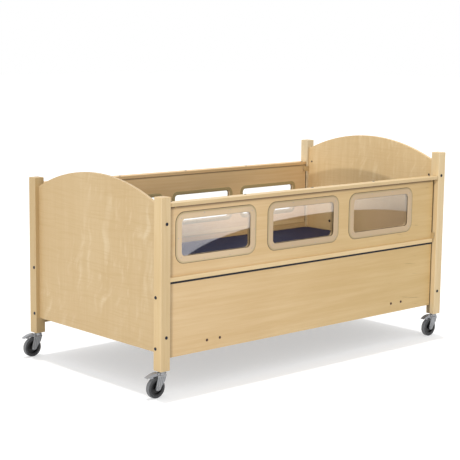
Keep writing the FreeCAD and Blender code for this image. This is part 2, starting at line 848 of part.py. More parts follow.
bearers = []
for end, ex in ENDS:
    label = f"{end}_bearer"
    x = ex * size("bearer_apart") / 2
    inner = SIDE_INNER - size("bearer_plate_thick")
    z = (size("bearer_low"), size("bearer_low") + size("bearer_tall"))
    wall = size("tube_wall")
    tube = block(label + "_tube", about(x, "bearer_wide"), (-inner, inner), z)
    room = block(label + "_room", about(x, size("bearer_wide") - 2 * wall), (-inner, inner),
                 (z[0] + wall, z[1] - wall))
    plates = [block(label + f"_plate_{side}", about(x, "bearer_plate_wide"), span(sy, inner, SIDE_INNER),
                    about(BEARER_Z, "bearer_plate_tall")) for side, sy in SIDES]
    bearers.append(join(label + "_frame", cut(label + "_hollow", tube, room), *plates))
node("bearers", cut("bearers", group("bearer_stock", *bearers), *holes["bearers"]))

# Base frame: two long tubes and cross tubes on four pedestals that stand on the bearers

tube = size("base_tube")
wall = size("tube_wall")
base_z = (size("base_low"), size("base_low") + tube)
long_y = SIDE_INNER - size("base_side_gap")
base_half = END_INNER - size("base_end_gap")
solids = []
rooms = []
for side, sy in SIDES:
    x = (-base_half, base_half)
    y = span(sy, long_y - tube, long_y)
    solids.append(block(f"{side}_base_tube", x, y, base_z))
    rooms.append(block(f"{side}_base_room", (x[0] + wall, x[1] - wall), (y[0] + wall, y[1] - wall),
                       (base_z[0] + wall, base_z[1] - wall)))
crosses = int(size("cross_tube_count").value)
cross_pitch = (2 * base_half - tube) / (crosses - 1)
for i in range(crosses):
    middle = i * cross_pitch - base_half + tube / 2
    x = about(middle, tube)
    y = (tube - long_y, long_y - tube)
    solids.append(block(f"cross_tube_{i}", x, y, base_z))
    rooms.append(block(f"cross_room_{i}", (x[0] + wall, x[1] - wall), y, (base_z[0] + wall, base_z[1] - wall)))
bearer_top = size("bearer_low") + size("bearer_tall")
for end, ex in ENDS:
    for side, sy in SIDES:
        at = (ex * size("bearer_apart") / 2, sy * (long_y - tube / 2), bearer_top)
        tall = size("base_low") - bearer_top
        solids.append(rod(f"{end}_{side}_pedestal", "z", 1, at, "pedestal", tall))
node("base_frame", cut("base_frame", join("base_frame_stock", *solids), *rooms))

# Slats across the base frame

slat_low = size("base_low") + tube
slat_count = int(size("slat_count").value)
slat_pitch = (2 * base_half - size("slat_wide")) / (slat_count - 1)
slat_half = long_y + size("slat_overhang")
slats = []
for i in range(slat_count):
    middle = i * slat_pitch - base_half + size("slat_wide") / 2
    slats.append(block(f"slat_{i}", about(middle, "slat_wide"), (-slat_half, slat_half),
                       (slat_low, slat_low + size("slat_thick"))))
node("slats", group("slats", *slats))

# Mattress: sides drawn in between the rounded top and bottom edges, and a crowned top

MATTRESS_HALF_X = END_INNER - size("mattress_end_gap")
MATTRESS_HALF_Y = SIDE_INNER - size("mattress_side_gap")


def mattress_section(inset, level):
    """A rounded rectangle at one level, of lines and quarter arcs."""
    half_x = MATTRESS_HALF_X.value - inset
    half_y = MATTRESS_HALF_Y.value - inset
    r = max(sheet.mattress_corner - inset, sheet.mattress_edge)
    bend = r * (1 - math.sqrt(1 / 2))
    edges = []
    quarters = ((1, 1), (-1, 1), (-1, -1), (1, -1))
    ends = []
    for qx, qy in quarters:
        along = FreeCAD.Vector(qx * (half_x - r), qy * half_y, level)
        across = FreeCAD.Vector(qx * half_x, qy * (half_y - r), level)
        middle = FreeCAD.Vector(qx * (half_x - bend), qy * (half_y - bend), level)
        first, last = (across, along) if qx * qy > 0 else (along, across)
        ends.append((first, middle, last))
    for i, (first, middle, last) in enumerate(ends):
        edges.append(Part.Arc(first, middle, last).toShape())
        edges.append(Part.LineSegment(last, ends[(i + 1) % len(ends)][0]).toShape())
    return Part.Wire(edges)


def mattress_levels():
    """Insets and levels up the side: a rounded bottom edge, the waist, a rounded top edge, the crown."""
    edge = sheet.mattress_edge
    thick = sheet.mattress_thick
    side_top = thick - sheet.mattress_crown
    steps = 4
    levels = []
    for i in range(steps + 1):
        turn = math.pi / 2 * i / steps
        levels.append((edge * (1 - math.sin(turn)), edge * (1 - math.cos(turn))))
    bow = (side_top - 2 * edge) / steps
    for i in range(1, steps):
        levels.append((sheet.mattress_waist * math.sin(math.pi * i / steps), edge + i * bow))
    for i in range(steps + 1):
        turn = math.pi / 2 * i / steps
        levels.append((edge * (1 - math.cos(turn)), side_top - edge * (1 - math.sin(turn))))
    flat = MATTRESS_HALF_Y.value - sheet.mattress_edge
    for i in range(1, steps + 1):
        share = i / (steps + 1)
        levels.append((edge + flat * share, side_top + sheet.mattress_crown * math.sin(math.pi / 2 * i / steps)))
    return levels


mattress = doc.addObject("Part::Feature", "mattress")
mattress.Shape = Part.makeLoft([mattress_section(*level) for level in mattress_levels()], True, True)
seat(mattress, 0, 0, slat_low + size("slat_thick") + size("mattress_gap"))
node("mattress", mattress)

# Casters: each trails toward the foot end, with a fork, an axle, a wheel and a brake pedal

AXLE_Z = size("wheel_across") / 2 - size("caster_tall")
HALF_FORK = size("fork_wide") / 2
FORK_ROOM = HALF_FORK - size("fork_leg")
RACE_TOP = -size("stem_flange_thick") - size("race_gap")
RACE_LOW = -size("race_low")
CROWN_LOW = RACE_LOW - size("crown_thick")


def fork_side(sketch):
    """The fork from its side: a crown, and full legs whose front edge breaks at a knee above a wide foot."""
    front = size("fork_front")
    rear = -size("fork_rear")
    foot = size("fork_foot")
    back = -size("caster_trail")
    toe = size("fork_toe") - size("caster_trail")
    outline(sketch, [
        (front, RACE_LOW, 0), (rear, RACE_LOW, 0), (rear, CROWN_LOW, 0), (back - foot, AXLE_Z, foot),
        (back, AXLE_Z - foot, 0), (toe - foot, AXLE_Z - foot, foot), (toe, AXLE_Z, 0),
        (size("fork_knee_front"), -size("fork_knee_low"), 0), (front, CROWN_LOW, 0),
    ])


def crown_edge(edge):
    """Picks the two long top edges of the crown, where the sheet is bent down into the legs."""
    box = edge.BoundBox
    return box.XLength > box.ZLength and box.YLength < box.XLength and box.ZMin > CROWN_LOW.value


PIN_X = -size("pedal_pivot_back")
PIN_Z = -size("pedal_pivot_low")
HOOD_FAR = -size("pedal_hood_far")
HOOD_NEAR = -size("pedal_hood_near")
HOOD_FAR_TOP = PIN_Z - size("pedal_hood_drop")
HOOD_LOW = PIN_Z - size("pedal_hood_skirt")


def pedal_side(sketch):
    """The pedal from its side: a barrel on its pin, an arched hood over the tyre and a thin lip."""
    r = size("pedal_barrel") / 2
    tip = -size("pedal_reach")
    tip_top = HOOD_FAR_TOP - size("pedal_lip_drop")
    lip = size("pedal_lip_thick")
    outline(sketch, [
        (PIN_X + r, PIN_Z, r), (PIN_X, PIN_Z + r, "pedal_hood_arc"), (HOOD_FAR, HOOD_FAR_TOP, 0),
        (tip, tip_top, 0), (tip, tip_top - lip, 0), (HOOD_FAR, HOOD_FAR_TOP - lip, 0),
        (HOOD_FAR, HOOD_FAR_TOP - lip - lip, 0), (HOOD_NEAR, HOOD_LOW, 0), (PIN_X - r, PIN_Z, r),
        (PIN_X, PIN_Z - r, r),
    ])


def hood_room(sketch):
    """The open space under the hood, inside its top wall and its two skirts."""
    wall = size("pedal_wall")
    near = PIN_X - size("pedal_barrel")
    far = HOOD_FAR + wall
    below = HOOD_LOW - size("pedal_hood_skirt")
    outline(sketch, [
        (near, PIN_Z + wall - wall / 2, "pedal_hood_arc"), (far, HOOD_FAR_TOP - wall, 0), (far, below, 0),
        (near, below, 0),
    ])


def tyre_section(sketch):
    half = size("wheel_wide") / 2
    out = size("wheel_across") / 2
    inside = size("hub_across") / 2
    r = size("tyre_shoulder")
    rim = size("hub_rim_wide") / 2
    outline(sketch, [
        (-rim, inside, 0), (rim, inside, 0), (half, inside + half - rim, 0), (half, out - r, r),
        (half - r, out, 0), (r - half, out, r), (-half, out - r, 0), (-half, inside + half - rim, 0),
    ])


def hub_section(sketch):
    bore = size("axle") / 2 + size("running_gap")
    out = size("hub_across") / 2
    rim = out - size("hub_rim")
    rim_half = size("hub_rim_wide") / 2
    boss = size("hub_boss") / 2
    boss_half = size("hub_boss_wide") / 2
    web = size("hub_web") / 2
    outline(sketch, [
        (-boss_half, bore, 0), (boss_half, bore, 0), (boss_half, boss, 0), (web, boss, 0), (web, rim, 0),
        (rim_half, rim, 0), (rim_half, out, 0), (-rim_half, out, 0), (-rim_half, rim, 0), (-web, rim, 0),
        (-web, boss, 0), (-boss_half, boss, 0),
    ])


for end, ex, side, sy in CORNERS:
    x = ex * POST_MID_X
    y = sy * POST_MID_Y
    label = f"{end}_{side}_caster"
    axle_x = x - size("caster_trail")
    pin_x = x + PIN_X
    pin_z = PIN_Z

    # fork with its race, pedal ears and pin
    stock = padded(label + "_fork_stock", "XZ_Plane", fork_side, "fork_wide", (x, y + HALF_FORK, 0))
    room = block(label + "_room", (x - size("pedal_reach"), x + size("pedal_reach")),
                 (y - FORK_ROOM, y + FORK_ROOM), (-size("caster_tall"), CROWN_LOW))
    eased(stock, "Fillet", label + "_fork_bend", "fork_bend", crown_edge, "Edge")
    legs = cut(label + "_legs", stock, room)
    race = join(
        label + "_race",
        rod(label + "_race_lower", "z", 1, (x, y, RACE_LOW), "race_across", "race_step"),
        rod(label + "_race_upper", "z", 1, (x, y, RACE_LOW), "race_upper_across", RACE_TOP - RACE_LOW),
    )
    ears = []
    for ear_side in (-1, 1):
        low = size("pedal_wide") / 2 + size("running_gap") + size("running_gap")
        y_ear = [y + v for v in span(ear_side, low, low + size("ear_thick"))]
        ears.append(block(f"{label}_ear_{ear_side + 1}", about(pin_x, "ear_long"), y_ear,
                          (RACE_LOW, RACE_LOW + size("ear_tall"))))
    pin_half = size("pedal_wide") / 2 + size("ear_thick")
    pin = rod(label + "_pedal_pin", "y", 1, (pin_x, y - pin_half, pin_z), "pedal_pin", 2 * pin_half)
    king_hole = rod(label + "_king_hole", "z", -1, (x, y, 0), size("stem") + 2 * size("running_gap"),
                    size("race_low") + size("crown_thick") + OVER)
    axle_hole = rod(label + "_axle_hole", "y", 1, (axle_x, y - HALF_FORK - OVER, AXLE_Z), "axle",
                    size("fork_wide") + 2 * OVER)
    fork = cut(label + "_fork_body", join(label + "_fork_joined", legs, race, *ears, pin), king_hole, axle_hole)
    half = HALF_FORK
    axle = join(
        label + "_axle",
        rod(label + "_axle_rod", "y", 1, (axle_x, y - half, AXLE_Z), "axle", "fork_wide"),
        rod(label + "_axle_head", "y", -1, (axle_x, y - half, AXLE_Z), "axle_head", "axle_head_tall"),
        rod(label + "_axle_nut", "y", 1, (axle_x, y + half, AXLE_Z), "axle_head", "axle_head_tall"),
    )
    node(label + "_fork", group(label + "_fork", fork, axle))

    # wheel
    node(label + "_tyre", turned(label + "_tyre", tyre_section, (axle_x, y, AXLE_Z)))
    node(label + "_hub", turned(label + "_hub", hub_section, (axle_x, y, AXLE_Z)))

    # brake pedal: a hollow hood with a shoe inside it, over the tyre
    half = size("pedal_wide") / 2
    hood = padded(label + "_pedal_hood", "XZ_Plane", pedal_side, "pedal_wide", (x, y + half, 0))
    inside = half - size("pedal_wall")
    hollow = padded(label + "_pedal_hollow", "XZ_Plane", hood_room, 2 * inside, (x, y + inside, 0))
    shoe = block(label + "_pedal_shoe", (x - size("pedal_shoe_far"), x - size("pedal_shoe_near")),
                 (y - half, y + half), (-size("pedal_shoe_low"), HOOD_FAR_TOP))
    pin_bore = rod(label + "_pedal_bore", "y", 1, (pin_x, y - pin_half, pin_z),
                   size("pedal_pin") + 2 * size("running_gap"), 2 * pin_half)
    shell = cut(label + "_pedal_shell", hood, hollow, pin_bore)
    node(label + "_pedal", join(label + "_pedal", shell, shoe))

# Checks, and one file for each piece

doc.recompute()
for thing in doc.Objects:
    if "Invalid" in thing.State or "Error" in thing.State:
        raise RuntimeError(f"{thing.Name} failed: {thing.State}")
for name, thing in NODES.items():
    if thing.Shape.isNull() or not thing.Shape.isValid() or not thing.Shape.Solids:
        raise RuntimeError(f"{name} has no valid solid")

os.makedirs("parts", exist_ok=True)
for name, thing in NODES.items():
    thing.Shape.exportStep(f"parts/{name}.step")
print(len(NODES), "pieces written")
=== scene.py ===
# %% [markdown]
# # A safety bed, dressed on its own frame
#
# The bed is a maple frame on four braked casters, with arched end panels, fixed lower side panels and
# two folding side rails with clear windows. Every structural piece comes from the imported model, in its
# real size and place. This lesson gives each of them a finish, and models what a maker would add by
# hand: moulded window trims with their gaskets, the heads of bolts and screws, the rubber strips under
# the sills, and the mattress with its piping.

# %% Load the frame and keep its box
import math

import bmesh
import bpy
from mathutils import Matrix, Vector
from mathutils.bvhtree import BVHTree


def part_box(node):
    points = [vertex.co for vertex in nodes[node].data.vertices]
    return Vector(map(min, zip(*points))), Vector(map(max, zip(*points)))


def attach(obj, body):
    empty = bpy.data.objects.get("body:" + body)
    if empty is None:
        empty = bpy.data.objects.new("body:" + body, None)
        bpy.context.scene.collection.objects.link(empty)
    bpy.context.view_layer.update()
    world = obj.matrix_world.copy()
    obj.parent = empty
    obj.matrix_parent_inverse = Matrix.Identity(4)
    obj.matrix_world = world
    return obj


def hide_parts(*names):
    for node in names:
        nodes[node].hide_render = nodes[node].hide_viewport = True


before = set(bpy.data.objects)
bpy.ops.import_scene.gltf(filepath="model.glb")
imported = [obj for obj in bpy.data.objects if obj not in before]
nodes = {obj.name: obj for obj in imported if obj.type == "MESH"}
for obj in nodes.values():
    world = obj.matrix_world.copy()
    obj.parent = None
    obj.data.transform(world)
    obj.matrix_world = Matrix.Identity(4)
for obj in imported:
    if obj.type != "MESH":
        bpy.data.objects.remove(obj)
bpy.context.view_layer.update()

# %% [markdown]
# ## Writing a finish as plain maths
#
# A procedural material is a small program: coordinates go in, and colour, roughness and bump come out.
# Node by node it is hard to read, so one class wraps a socket and lets Python's own operators add the
# Math nodes. Everything else, such as a noise or a blend, comes from one method of the finish.

# %% A socket that understands + - * and powers


class Value:
    """An output socket of a finish, which Python's operators work on."""

    def __init__(self, finish, socket):
        self.finish = finish
        self.socket = socket

    def other(self, name):
        """Another output of the same node."""
        return Value(self.finish, self.socket.node.outputs[name])

    def __add__(self, other):
        return self.finish.math("ADD", self, other)

    def __sub__(self, other):
        return self.finish.math("SUBTRACT", self, other)

    def __rsub__(self, other):
        return self.finish.math("SUBTRACT", other, self)

    def __mul__(self, other):
        return self.finish.math("MULTIPLY", self, other)

    def __pow__(self, other):
        return self.finish.math("POWER", self, other)

    __radd__ = __add__
    __rmul__ = __mul__


# %% A finish that adds its nodes
AXES = {"x": 0, "y": 1, "z": 2}


class Finish:
    """One material, or the world, and the nodes that feed its surface."""

    def __init__(self, name, world=False):
        self.owner = (bpy.data.worlds if world else bpy.data.materials).new(name)
        self.owner.use_nodes = True
        self.tree = self.owner.node_tree
        self.tree.nodes.clear()
        self.end = self.tree.nodes.new("ShaderNodeOutputWorld" if world else "ShaderNodeOutputMaterial")

    def node(self, kind, settings=None, values=None, out=0):
        """Any node: its type, its settings, then the values or links of its sockets."""
        made = self.tree.nodes.new(kind)
        for name, value in (settings or {}).items():
            setattr(made, name, value)
        for name, value in (values or {}).items():
            if isinstance(value, Value):
                self.tree.links.new(value.socket, made.inputs[name])
            elif made.inputs[name].type == "RGBA":
                made.inputs[name].default_value = (*value, 1)
            else:
                made.inputs[name].default_value = value
        return Value(self, made.outputs[out])

    def math(self, operation, *values):
        return self.node("ShaderNodeMath", {"operation": operation}, dict(enumerate(values)))

    def clamp(self, value):
        return self.node("ShaderNodeClamp", None, {"Value": value})

    def step(self, value, low, high):
        """0 below low, 1 above high, and smooth between."""
        return self.node("ShaderNodeMapRange", {"interpolation_type": "SMOOTHSTEP"},
                         {"Value": value, "From Min": low, "From Max": high})

    def wave(self, value, apart, operation="SINE"):
        """A wave from -1 to 1 whose crests are some metres apart."""
        return self.math(operation, value * (2 * math.pi / apart))

    def place(self, output="Object"):
        return self.node("ShaderNodeTexCoord", out=output)

    def split(self, vector):
        whole = self.node("ShaderNodeSeparateXYZ", None, {0: vector}, "X")
        return whole, whole.other("Y"), whole.other("Z")

    def vector(self, x, y, z):
        return self.node("ShaderNodeCombineXYZ", None, {"X": x, "Y": y, "Z": z})

    def facing(self, axis):
        """1 where the surface faces along an axis, either way, and 0 where it runs along it."""
        return self.math("ABSOLUTE", self.split(self.place("Normal"))[AXES[axis]])

    def noise(self, place, scale, detail=3.0, rough=0.5, bent=0.0):
        return self.node("ShaderNodeTexNoise", None, {
            "Vector": place, "Scale": scale, "Detail": detail, "Roughness": rough, "Distortion": bent})

    def mix(self, share, first, second, blend="MIX"):
        """A colour between two, or two colours blended: a Mix node's colours are its sockets 6 and 7."""
        return self.node("ShaderNodeMix", {"data_type": "RGBA", "blend_type": blend},
                         {0: share, 6: first, 7: second}, 2)

    def bump(self, height, strength, distance):
        return self.node("ShaderNodeBump", None,
                         {"Height": height, "Strength": strength, "Distance": distance})

    def shows(self, shader):
        """Puts a shader on the surface, and gives back the material or world."""
        self.tree.links.new(shader.socket, self.end.inputs["Surface"])
        return self.owner

    def surface(self, **values):
        """The main shader, with its sockets by name, written with _ for a space."""
        names = {name.replace("_", " "): value for name, value in values.items()}
        return self.shows(self.node("ShaderNodeBsdfPrincipled", None, names))


# %% Colours, and painting the frame's pieces
WHITE = (1.0, 1.0, 1.0)


def srgb(red, green, blue):
    """A colour written as on a screen, from 0 to 255, as the light values that shaders use.

    The numbers in it are those of the sRGB standard.
    """
    def light(part):
        part = part / 255
        return part / 12.92 if part <= 0.04045 else ((part + 0.055) / 1.055) ** 2.4
    return light(red), light(green), light(blue)


def deeper(colour, share):
    """A colour with a share of its light left."""
    return tuple(part * share for part in colour)


def paint(names, material):
    """Gives a finish to pieces of the frame, in the slots that they have."""
    for name in names:
        piece = nodes[name]
        if not piece.material_slots:
            piece.data.materials.append(material)
        for slot in piece.material_slots:
            slot.material = material


print("the finish helpers are ready")

# %% [markdown]
# ## Where the camera stands
#
# The bed is seen from its foot end, over the front corner, with a long lens. The place and turn were
# solved from the posts' corners, so straight edges fall where they do in a photograph of the bed.

# %% Camera
LENS, SENSOR = 100.342, 36
SIGHT = 200
CAMERA_PLACE = (-4.77484, -5.13312, 1.71205)
CAMERA_TURN = (81.397485, -0.719034, -42.336129)

camera_data = bpy.data.cameras.new("camera")
camera_data.lens = LENS
camera_data.sensor_width = SENSOR
camera_data.clip_end = SIGHT
camera = bpy.data.objects.new("camera", camera_data)
camera.location = CAMERA_PLACE
camera.rotation_euler = [math.radians(turn) for turn in CAMERA_TURN]
bpy.context.scene.collection.objects.link(camera)
bpy.context.scene.camera = camera
print("camera with a lens of", LENS, "mm")

# %% [markdown]
# ## A white studio
#
# The floor is a pale sheet that runs past the frame. The camera, and what mirrors in metal and glass,
# see it as white, but it keeps the bed's shadow. For the light that it throws back on the bed it is
# plain pale paper, so the white floor adds nothing to the bed.

# %% From a bmesh to an object


def placed(name, shape, material=None):
    """The object that a bmesh becomes, in the scene."""
    mesh = bpy.data.meshes.new(name)
    shape.to_mesh(mesh)
    shape.free()
    if material:
        mesh.materials.append(material)
    piece = bpy.data.objects.new(name, mesh)
    bpy.context.scene.collection.objects.link(piece)
    return piece


# %% Floor
FLOOR_REACH = 40
FLOOR_PAPER = 0.6
FLOOR_SEEN = 0.58
FLOOR_LIFT = 0.48


def watched(f):
    """1 for a ray that looks: from the camera, or on from a mirror or a clear sheet."""
    path = f.node("ShaderNodeLightPath", out="Is Camera Ray")
    mirrored = f.math("MAXIMUM", path.other("Is Glossy Ray"), path.other("Is Transmission Ray"))
    return f.math("MAXIMUM", path, mirrored)


def floor_finish():
    f = Finish("floor_paper")
    paper = f.node("ShaderNodeBsdfDiffuse", None, {"Color": deeper(WHITE, FLOOR_PAPER)})
    white = f.node("ShaderNodeBsdfDiffuse", None, {"Color": deeper(WHITE, FLOOR_SEEN)})
    lift = f.node("ShaderNodeEmission", None, {"Color": WHITE, "Strength": FLOOR_LIFT})
    bright = f.node("ShaderNodeAddShader", None, {0: white, 1: lift})
    return f.shows(f.node("ShaderNodeMixShader", None, {0: watched(f), 1: paper, 2: bright}))


floor_shape = bmesh.new()
bmesh.ops.create_grid(floor_shape, x_segments=1, y_segments=1, size=FLOOR_REACH)
floor = placed("floor", floor_shape, floor_finish())
print("floor", 2 * FLOOR_REACH, "m wide")

# %% [markdown]
# ## Light
#
# A white room gives most of the light. One lamp stands straight overhead and draws the bed's outline
# as a soft shadow on the floor. A low one from the foot end grazes over the mattress and leaves the
# arch's shadow on the head panel, and a low one from the front fills the long side. A small soft one
# over the mattress brightens the low part of the rear side.

# %% Room
ROOM = 0.95


def room():
    """White from every side, and a little dimmer as light than as it looks."""
    f = Finish("studio", world=True)
    strength = f.node("ShaderNodeMix", None, {0: watched(f), 2: ROOM, 3: 1.0})
    return f.shows(f.node("ShaderNodeBackground", None, {"Color": WHITE, "Strength": strength}))


bpy.context.scene.world = room()
bpy.context.scene.view_settings.view_transform = "Standard"
print("the room gives", ROOM, "of full light")

# %% Lamps
LAMPS = {
    # name: the way that its light travels, its strength as a share of plain light, its spread in degrees
    "overhead": ((-0.04, -0.08, -1.0), 0.42, 1.2),
    "foot_end": ((1.0, 0.045, -0.055), 0.215, 0.6),
    "front": ((0.12, 1.0, -0.03), 0.07, 14.0),
}
INSIDE_WAY = (0.72, 0.69, -0.09)
INSIDE_PLACE = (0.15, -0.20, 0.62)
INSIDE_LONG = 0.7
INSIDE_WIDE = 0.10
INSIDE_SPREAD = 64
INSIDE_WATTS = 0.66
INSIDE_COLOUR = (1.0, 0.86, 0.74)


def lamp(name, kind, way, up, settings):
    """A lamp whose light travels one way; up is its own axis that points upward."""
    data = bpy.data.lights.new(name, kind)
    for setting, value in settings.items():
        setattr(data, setting, value)
    made = bpy.data.objects.new(name, data)
    made.rotation_euler = (-Vector(way)).to_track_quat("Z", up).to_euler()
    bpy.context.scene.collection.objects.link(made)
    return made


for name, (way, share, spread) in LAMPS.items():
    lamp(name, "SUN", way, "Y", {"energy": share * math.pi, "angle": math.radians(spread)})
inside = lamp("inside", "AREA", INSIDE_WAY, "X", {
    "shape": "RECTANGLE", "size": INSIDE_WIDE, "size_y": INSIDE_LONG, "energy": INSIDE_WATTS,
    "spread": math.radians(INSIDE_SPREAD), "color": INSIDE_COLOUR})
inside.location = INSIDE_PLACE
inside.visible_glossy = False
print("lamps:", ", ".join(LAMPS), "and", inside.name)

# %% [markdown]
# Three cards stand in front of the long side, where only mirrors see them. Two dark rounded ones keep
# the white floor out of the lower part of the windows, and a pale one behind them grows brighter
# upward and dims along the bed, so that the sheets carry a soft veil and still show the mattress. A
# fourth is a narrow strip under the bed that nothing sees. It only shades the floor, below the gap
# between the mattress and the foot panel, where a thin line of light would fall.

# %% A card that one kind of ray meets
RAYS = ("camera", "diffuse", "glossy", "transmission", "volume_scatter", "shadow")
CARD_POINTS = 96
UPRIGHT = Matrix.Rotation(math.pi / 2, 3, "X")


def card(name, half, place, ray, shader=None, upright=True, rounded=False):
    """A flat card of some half sizes, which stands square to Y or lies flat."""
    shape = bmesh.new()
    if rounded:
        bmesh.ops.create_circle(shape, cap_ends=True, segments=CARD_POINTS, radius=1)
    else:
        bmesh.ops.create_grid(shape, x_segments=1, y_segments=1, size=1)
    if upright:
        bmesh.ops.rotate(shape, cent=(0, 0, 0), matrix=UPRIGHT, verts=shape.verts)
    bmesh.ops.scale(shape, vec=half, verts=shape.verts)
    bmesh.ops.translate(shape, vec=place, verts=shape.verts)
    paper = None
    if shader:
        f = Finish(name + "_paper")
        paper = f.shows(shader(f))
    sheet = placed(name, shape, paper)
    for kind in RAYS:
        setattr(sheet, "visible_" + kind, kind == ray)


# %% What the cards are made of
FELT = (0.01, 0.01, 0.012)
FELT_DARK = (0.004, 0.004, 0.005)
FELT_GLOW = (0.3, 0.19, 0.13)
FELT_GLOWS = (1.42, 1.85)
VEIL_LOW = (0.80, 0.79, 0.84)
VEIL_HIGH = (1.66, 1.52, 1.42)
VEIL_RISES = (0.44, 0.66)
VEIL_DIMS = (0.4, 2.1)
VEIL_FADE = 0.44


def dark_felt(f):
    return f.node("ShaderNodeBsdfDiffuse", None, {"Color": FELT})


def warm_felt(f):
    """Dark toward the foot end, and with a faint warm glow toward the head end."""
    along = f.split(f.place())[0]
    glow = f.mix(f.step(along, *FELT_GLOWS), FELT_DARK, FELT_GLOW)
    return f.node("ShaderNodeEmission", None, {"Color": glow, "Strength": 1.0})


def veil_paper(f):
    """Brighter upward, and dimmer toward the head end."""
    along, _, high = f.split(f.place())
    glow = f.mix(f.step(high, *VEIL_RISES), VEIL_LOW, VEIL_HIGH)
    glow = f.mix(f.step(along, *VEIL_DIMS) * VEIL_FADE, glow, deeper(WHITE, 0))
    return f.node("ShaderNodeEmission", None, {"Color": glow, "Strength": 1.0})


# %% Set up the cards
card("floor_strip", (0.022, 0.49, 1.0), (-0.972, 0.0, 0.30), "shadow", upright=False)
card("low_flag", (1.9, 1.0, 0.62), (1.35, -1.6, -0.20), "glossy", dark_felt, rounded=True)
card("flag", (1.25, 1.0, 0.239), (1.27, -1.6, 0.343), "glossy", warm_felt, rounded=True)
card("veil", (4.5, 1.0, 0.75), (1.35, -1.66, 0.35), "glossy", veil_paper)
print("three cards stand in front of the windows, and one lies under the bed")

# %% [markdown]
# ## Maple
#
# The panels are maple plywood and the posts are solid maple, all under a satin lacquer. Maple is pale
# and even: long fine fibres along the grain, wide soft bands where the log's rings were cut, and on the
# end panels the light wavy flecks of a curly log. A cut edge of the plywood shows its layers, and the
# end of a post its rings. All of it follows the place on the bed, so the grain runs on round corners.

# %% Maple's colours and measures
MAPLE = srgb(221, 191, 140)
MAPLE_DEEP = srgb(205, 171, 116)
MAPLE_PALE = srgb(238, 216, 174)
LAYER_DARK = srgb(176, 140, 96)
LAYER_PALE = srgb(222, 205, 172)
# a colour for painted shade in the narrow gaps between pieces
PAINTED_SHADE_DARK = srgb(96, 74, 46)
MINERAL_DARK = srgb(140, 104, 60)

# noise scales, in details per metre, and how little each changes along the grain
FIBRES, STREAKS, BANDS, CLOUDS = 330, 75, 6.5, 2.1
FIBRE_STRETCH, BAND_STRETCH = 0.03, 0.11
LAYER_APART = 0.0054
RING_APART = 0.0032

# where gaps between the pieces lie, in metres
BED_MIDDLE = 0.03175
CAP_UNDER = 0.916
PANEL_SHADE = 0.945
RAIL_INSIDE = (0.5015, 0.5035)
RAIL_OUTSIDE = (0.5215, 0.5235)


def grained(f, parts, grain, stretch, shift):
    """A place drawn out along the grain, so that a noise on it makes long fibres."""
    return f.vector(*[part * (stretch if i == AXES[grain] else 1.0) + shift
                      for i, part in enumerate(parts)])


# %% The light flecks of a curly log, and dark mineral streaks


def curly(f, parts, colour, thick, figure, shift):
    """Light wavy flecks and a faint cross ripple: the new colour and the ripple's height.

    Each place in it has its details per metre across the panel and up it.
    """
    lateral = parts[1] if thick == "x" else parts[0]
    upright = parts[2]
    bend = (f.noise(f.vector(lateral * 2.0, upright * 3.2, shift), 1.0, 2, 0.5) - 0.5) * 1.1
    curl_place = f.vector(lateral * 17 + upright * 2.2 + bend * 3.5, upright * 4.2 + bend, shift)
    small_place = f.vector(lateral * 46 + upright * 9 + bend * 6, upright * 12 + bend * 2, shift + 2.0)
    ripple_place = f.vector(lateral * 5 + bend, upright * 120 + bend * 6, shift)
    curl = f.noise(curl_place, 1.0, 2.5, 0.55, 0.35)
    small = f.noise(small_place, 1.0, 2, 0.5)
    ripple = f.noise(ripple_place, 1.0, 2, 0.5)
    patch = f.noise(f.vector(lateral * 3.0, upright * 2.6, shift + 4.0), 1.0, 1.5)
    curl_mask = f.step(curl, 0.5, 0.74) * f.step(patch, 0.36, 0.58)
    small_mask = f.step(small, 0.56, 0.78) * f.step(patch, 0.34, 0.62)
    colour = f.mix(curl_mask * figure, colour, MAPLE_PALE)
    colour = f.mix(small_mask * (figure * 0.6), colour, MAPLE_PALE)
    return f.mix(f.clamp((ripple - 0.46) * figure * 1.5), colour, MAPLE_DEEP), ripple


def mineral(f, parts, colour, fleck):
    """Short dark streaks toward the head end of a side panel."""
    fleck_place = f.vector(parts[0] * 5.5, parts[1] * 30, parts[2] * 60 + parts[0] * 6)
    dark = f.step(f.noise(fleck_place, 1.0, 3, 0.6), 0.64, 0.78) * f.step(parts[0], 0.45, 1.0)
    return f.mix(dark * fleck, colour, MINERAL_DARK)


# %% A cut edge of plywood and a sawn end of a post


def cut_edge(f, parts, colour, thick):
    """The layers of the plywood, where a panel is cut across."""
    edge = 1 - f.step(f.facing(thick), 0.55, 0.9)
    layer = f.wave(parts[AXES[thick]], LAYER_APART)
    layers = f.mix(f.step(layer, -0.4, 0.4), LAYER_DARK, LAYER_PALE)
    return f.mix(edge * 0.45, colour, layers)


def sawn_end(f, place, parts, colour, grain, shift):
    """Rings on the ends, and paler rounded corners: a painted highlight."""
    ends = f.step(f.facing(grain), 0.6, 0.9)
    across = [part for i, part in enumerate(parts) if i != AXES[grain]]
    ring_place = f.vector(across[0] + 0.021 + shift * 0.01, across[1] - 0.034, 0.0)
    reach = f.node("ShaderNodeVectorMath", {"operation": "LENGTH"}, {0: ring_place}, "Value")
    rings = f.wave(reach + f.noise(place, 9.0, 2) * 0.012, RING_APART)
    colour = f.mix(ends * 0.5, colour, f.mix(f.step(rings, -0.6, 0.8), MAPLE_DEEP, LAYER_DARK))
    sides = [f.facing(axis) for axis in AXES if axis != grain]
    # a painted highlight along the rounded corners
    corner = f.step(f.math("MINIMUM", *sides), 0.15, 0.55)
    return f.mix(corner * 0.45, colour, MAPLE_PALE)


# %% Shade where pieces stand close


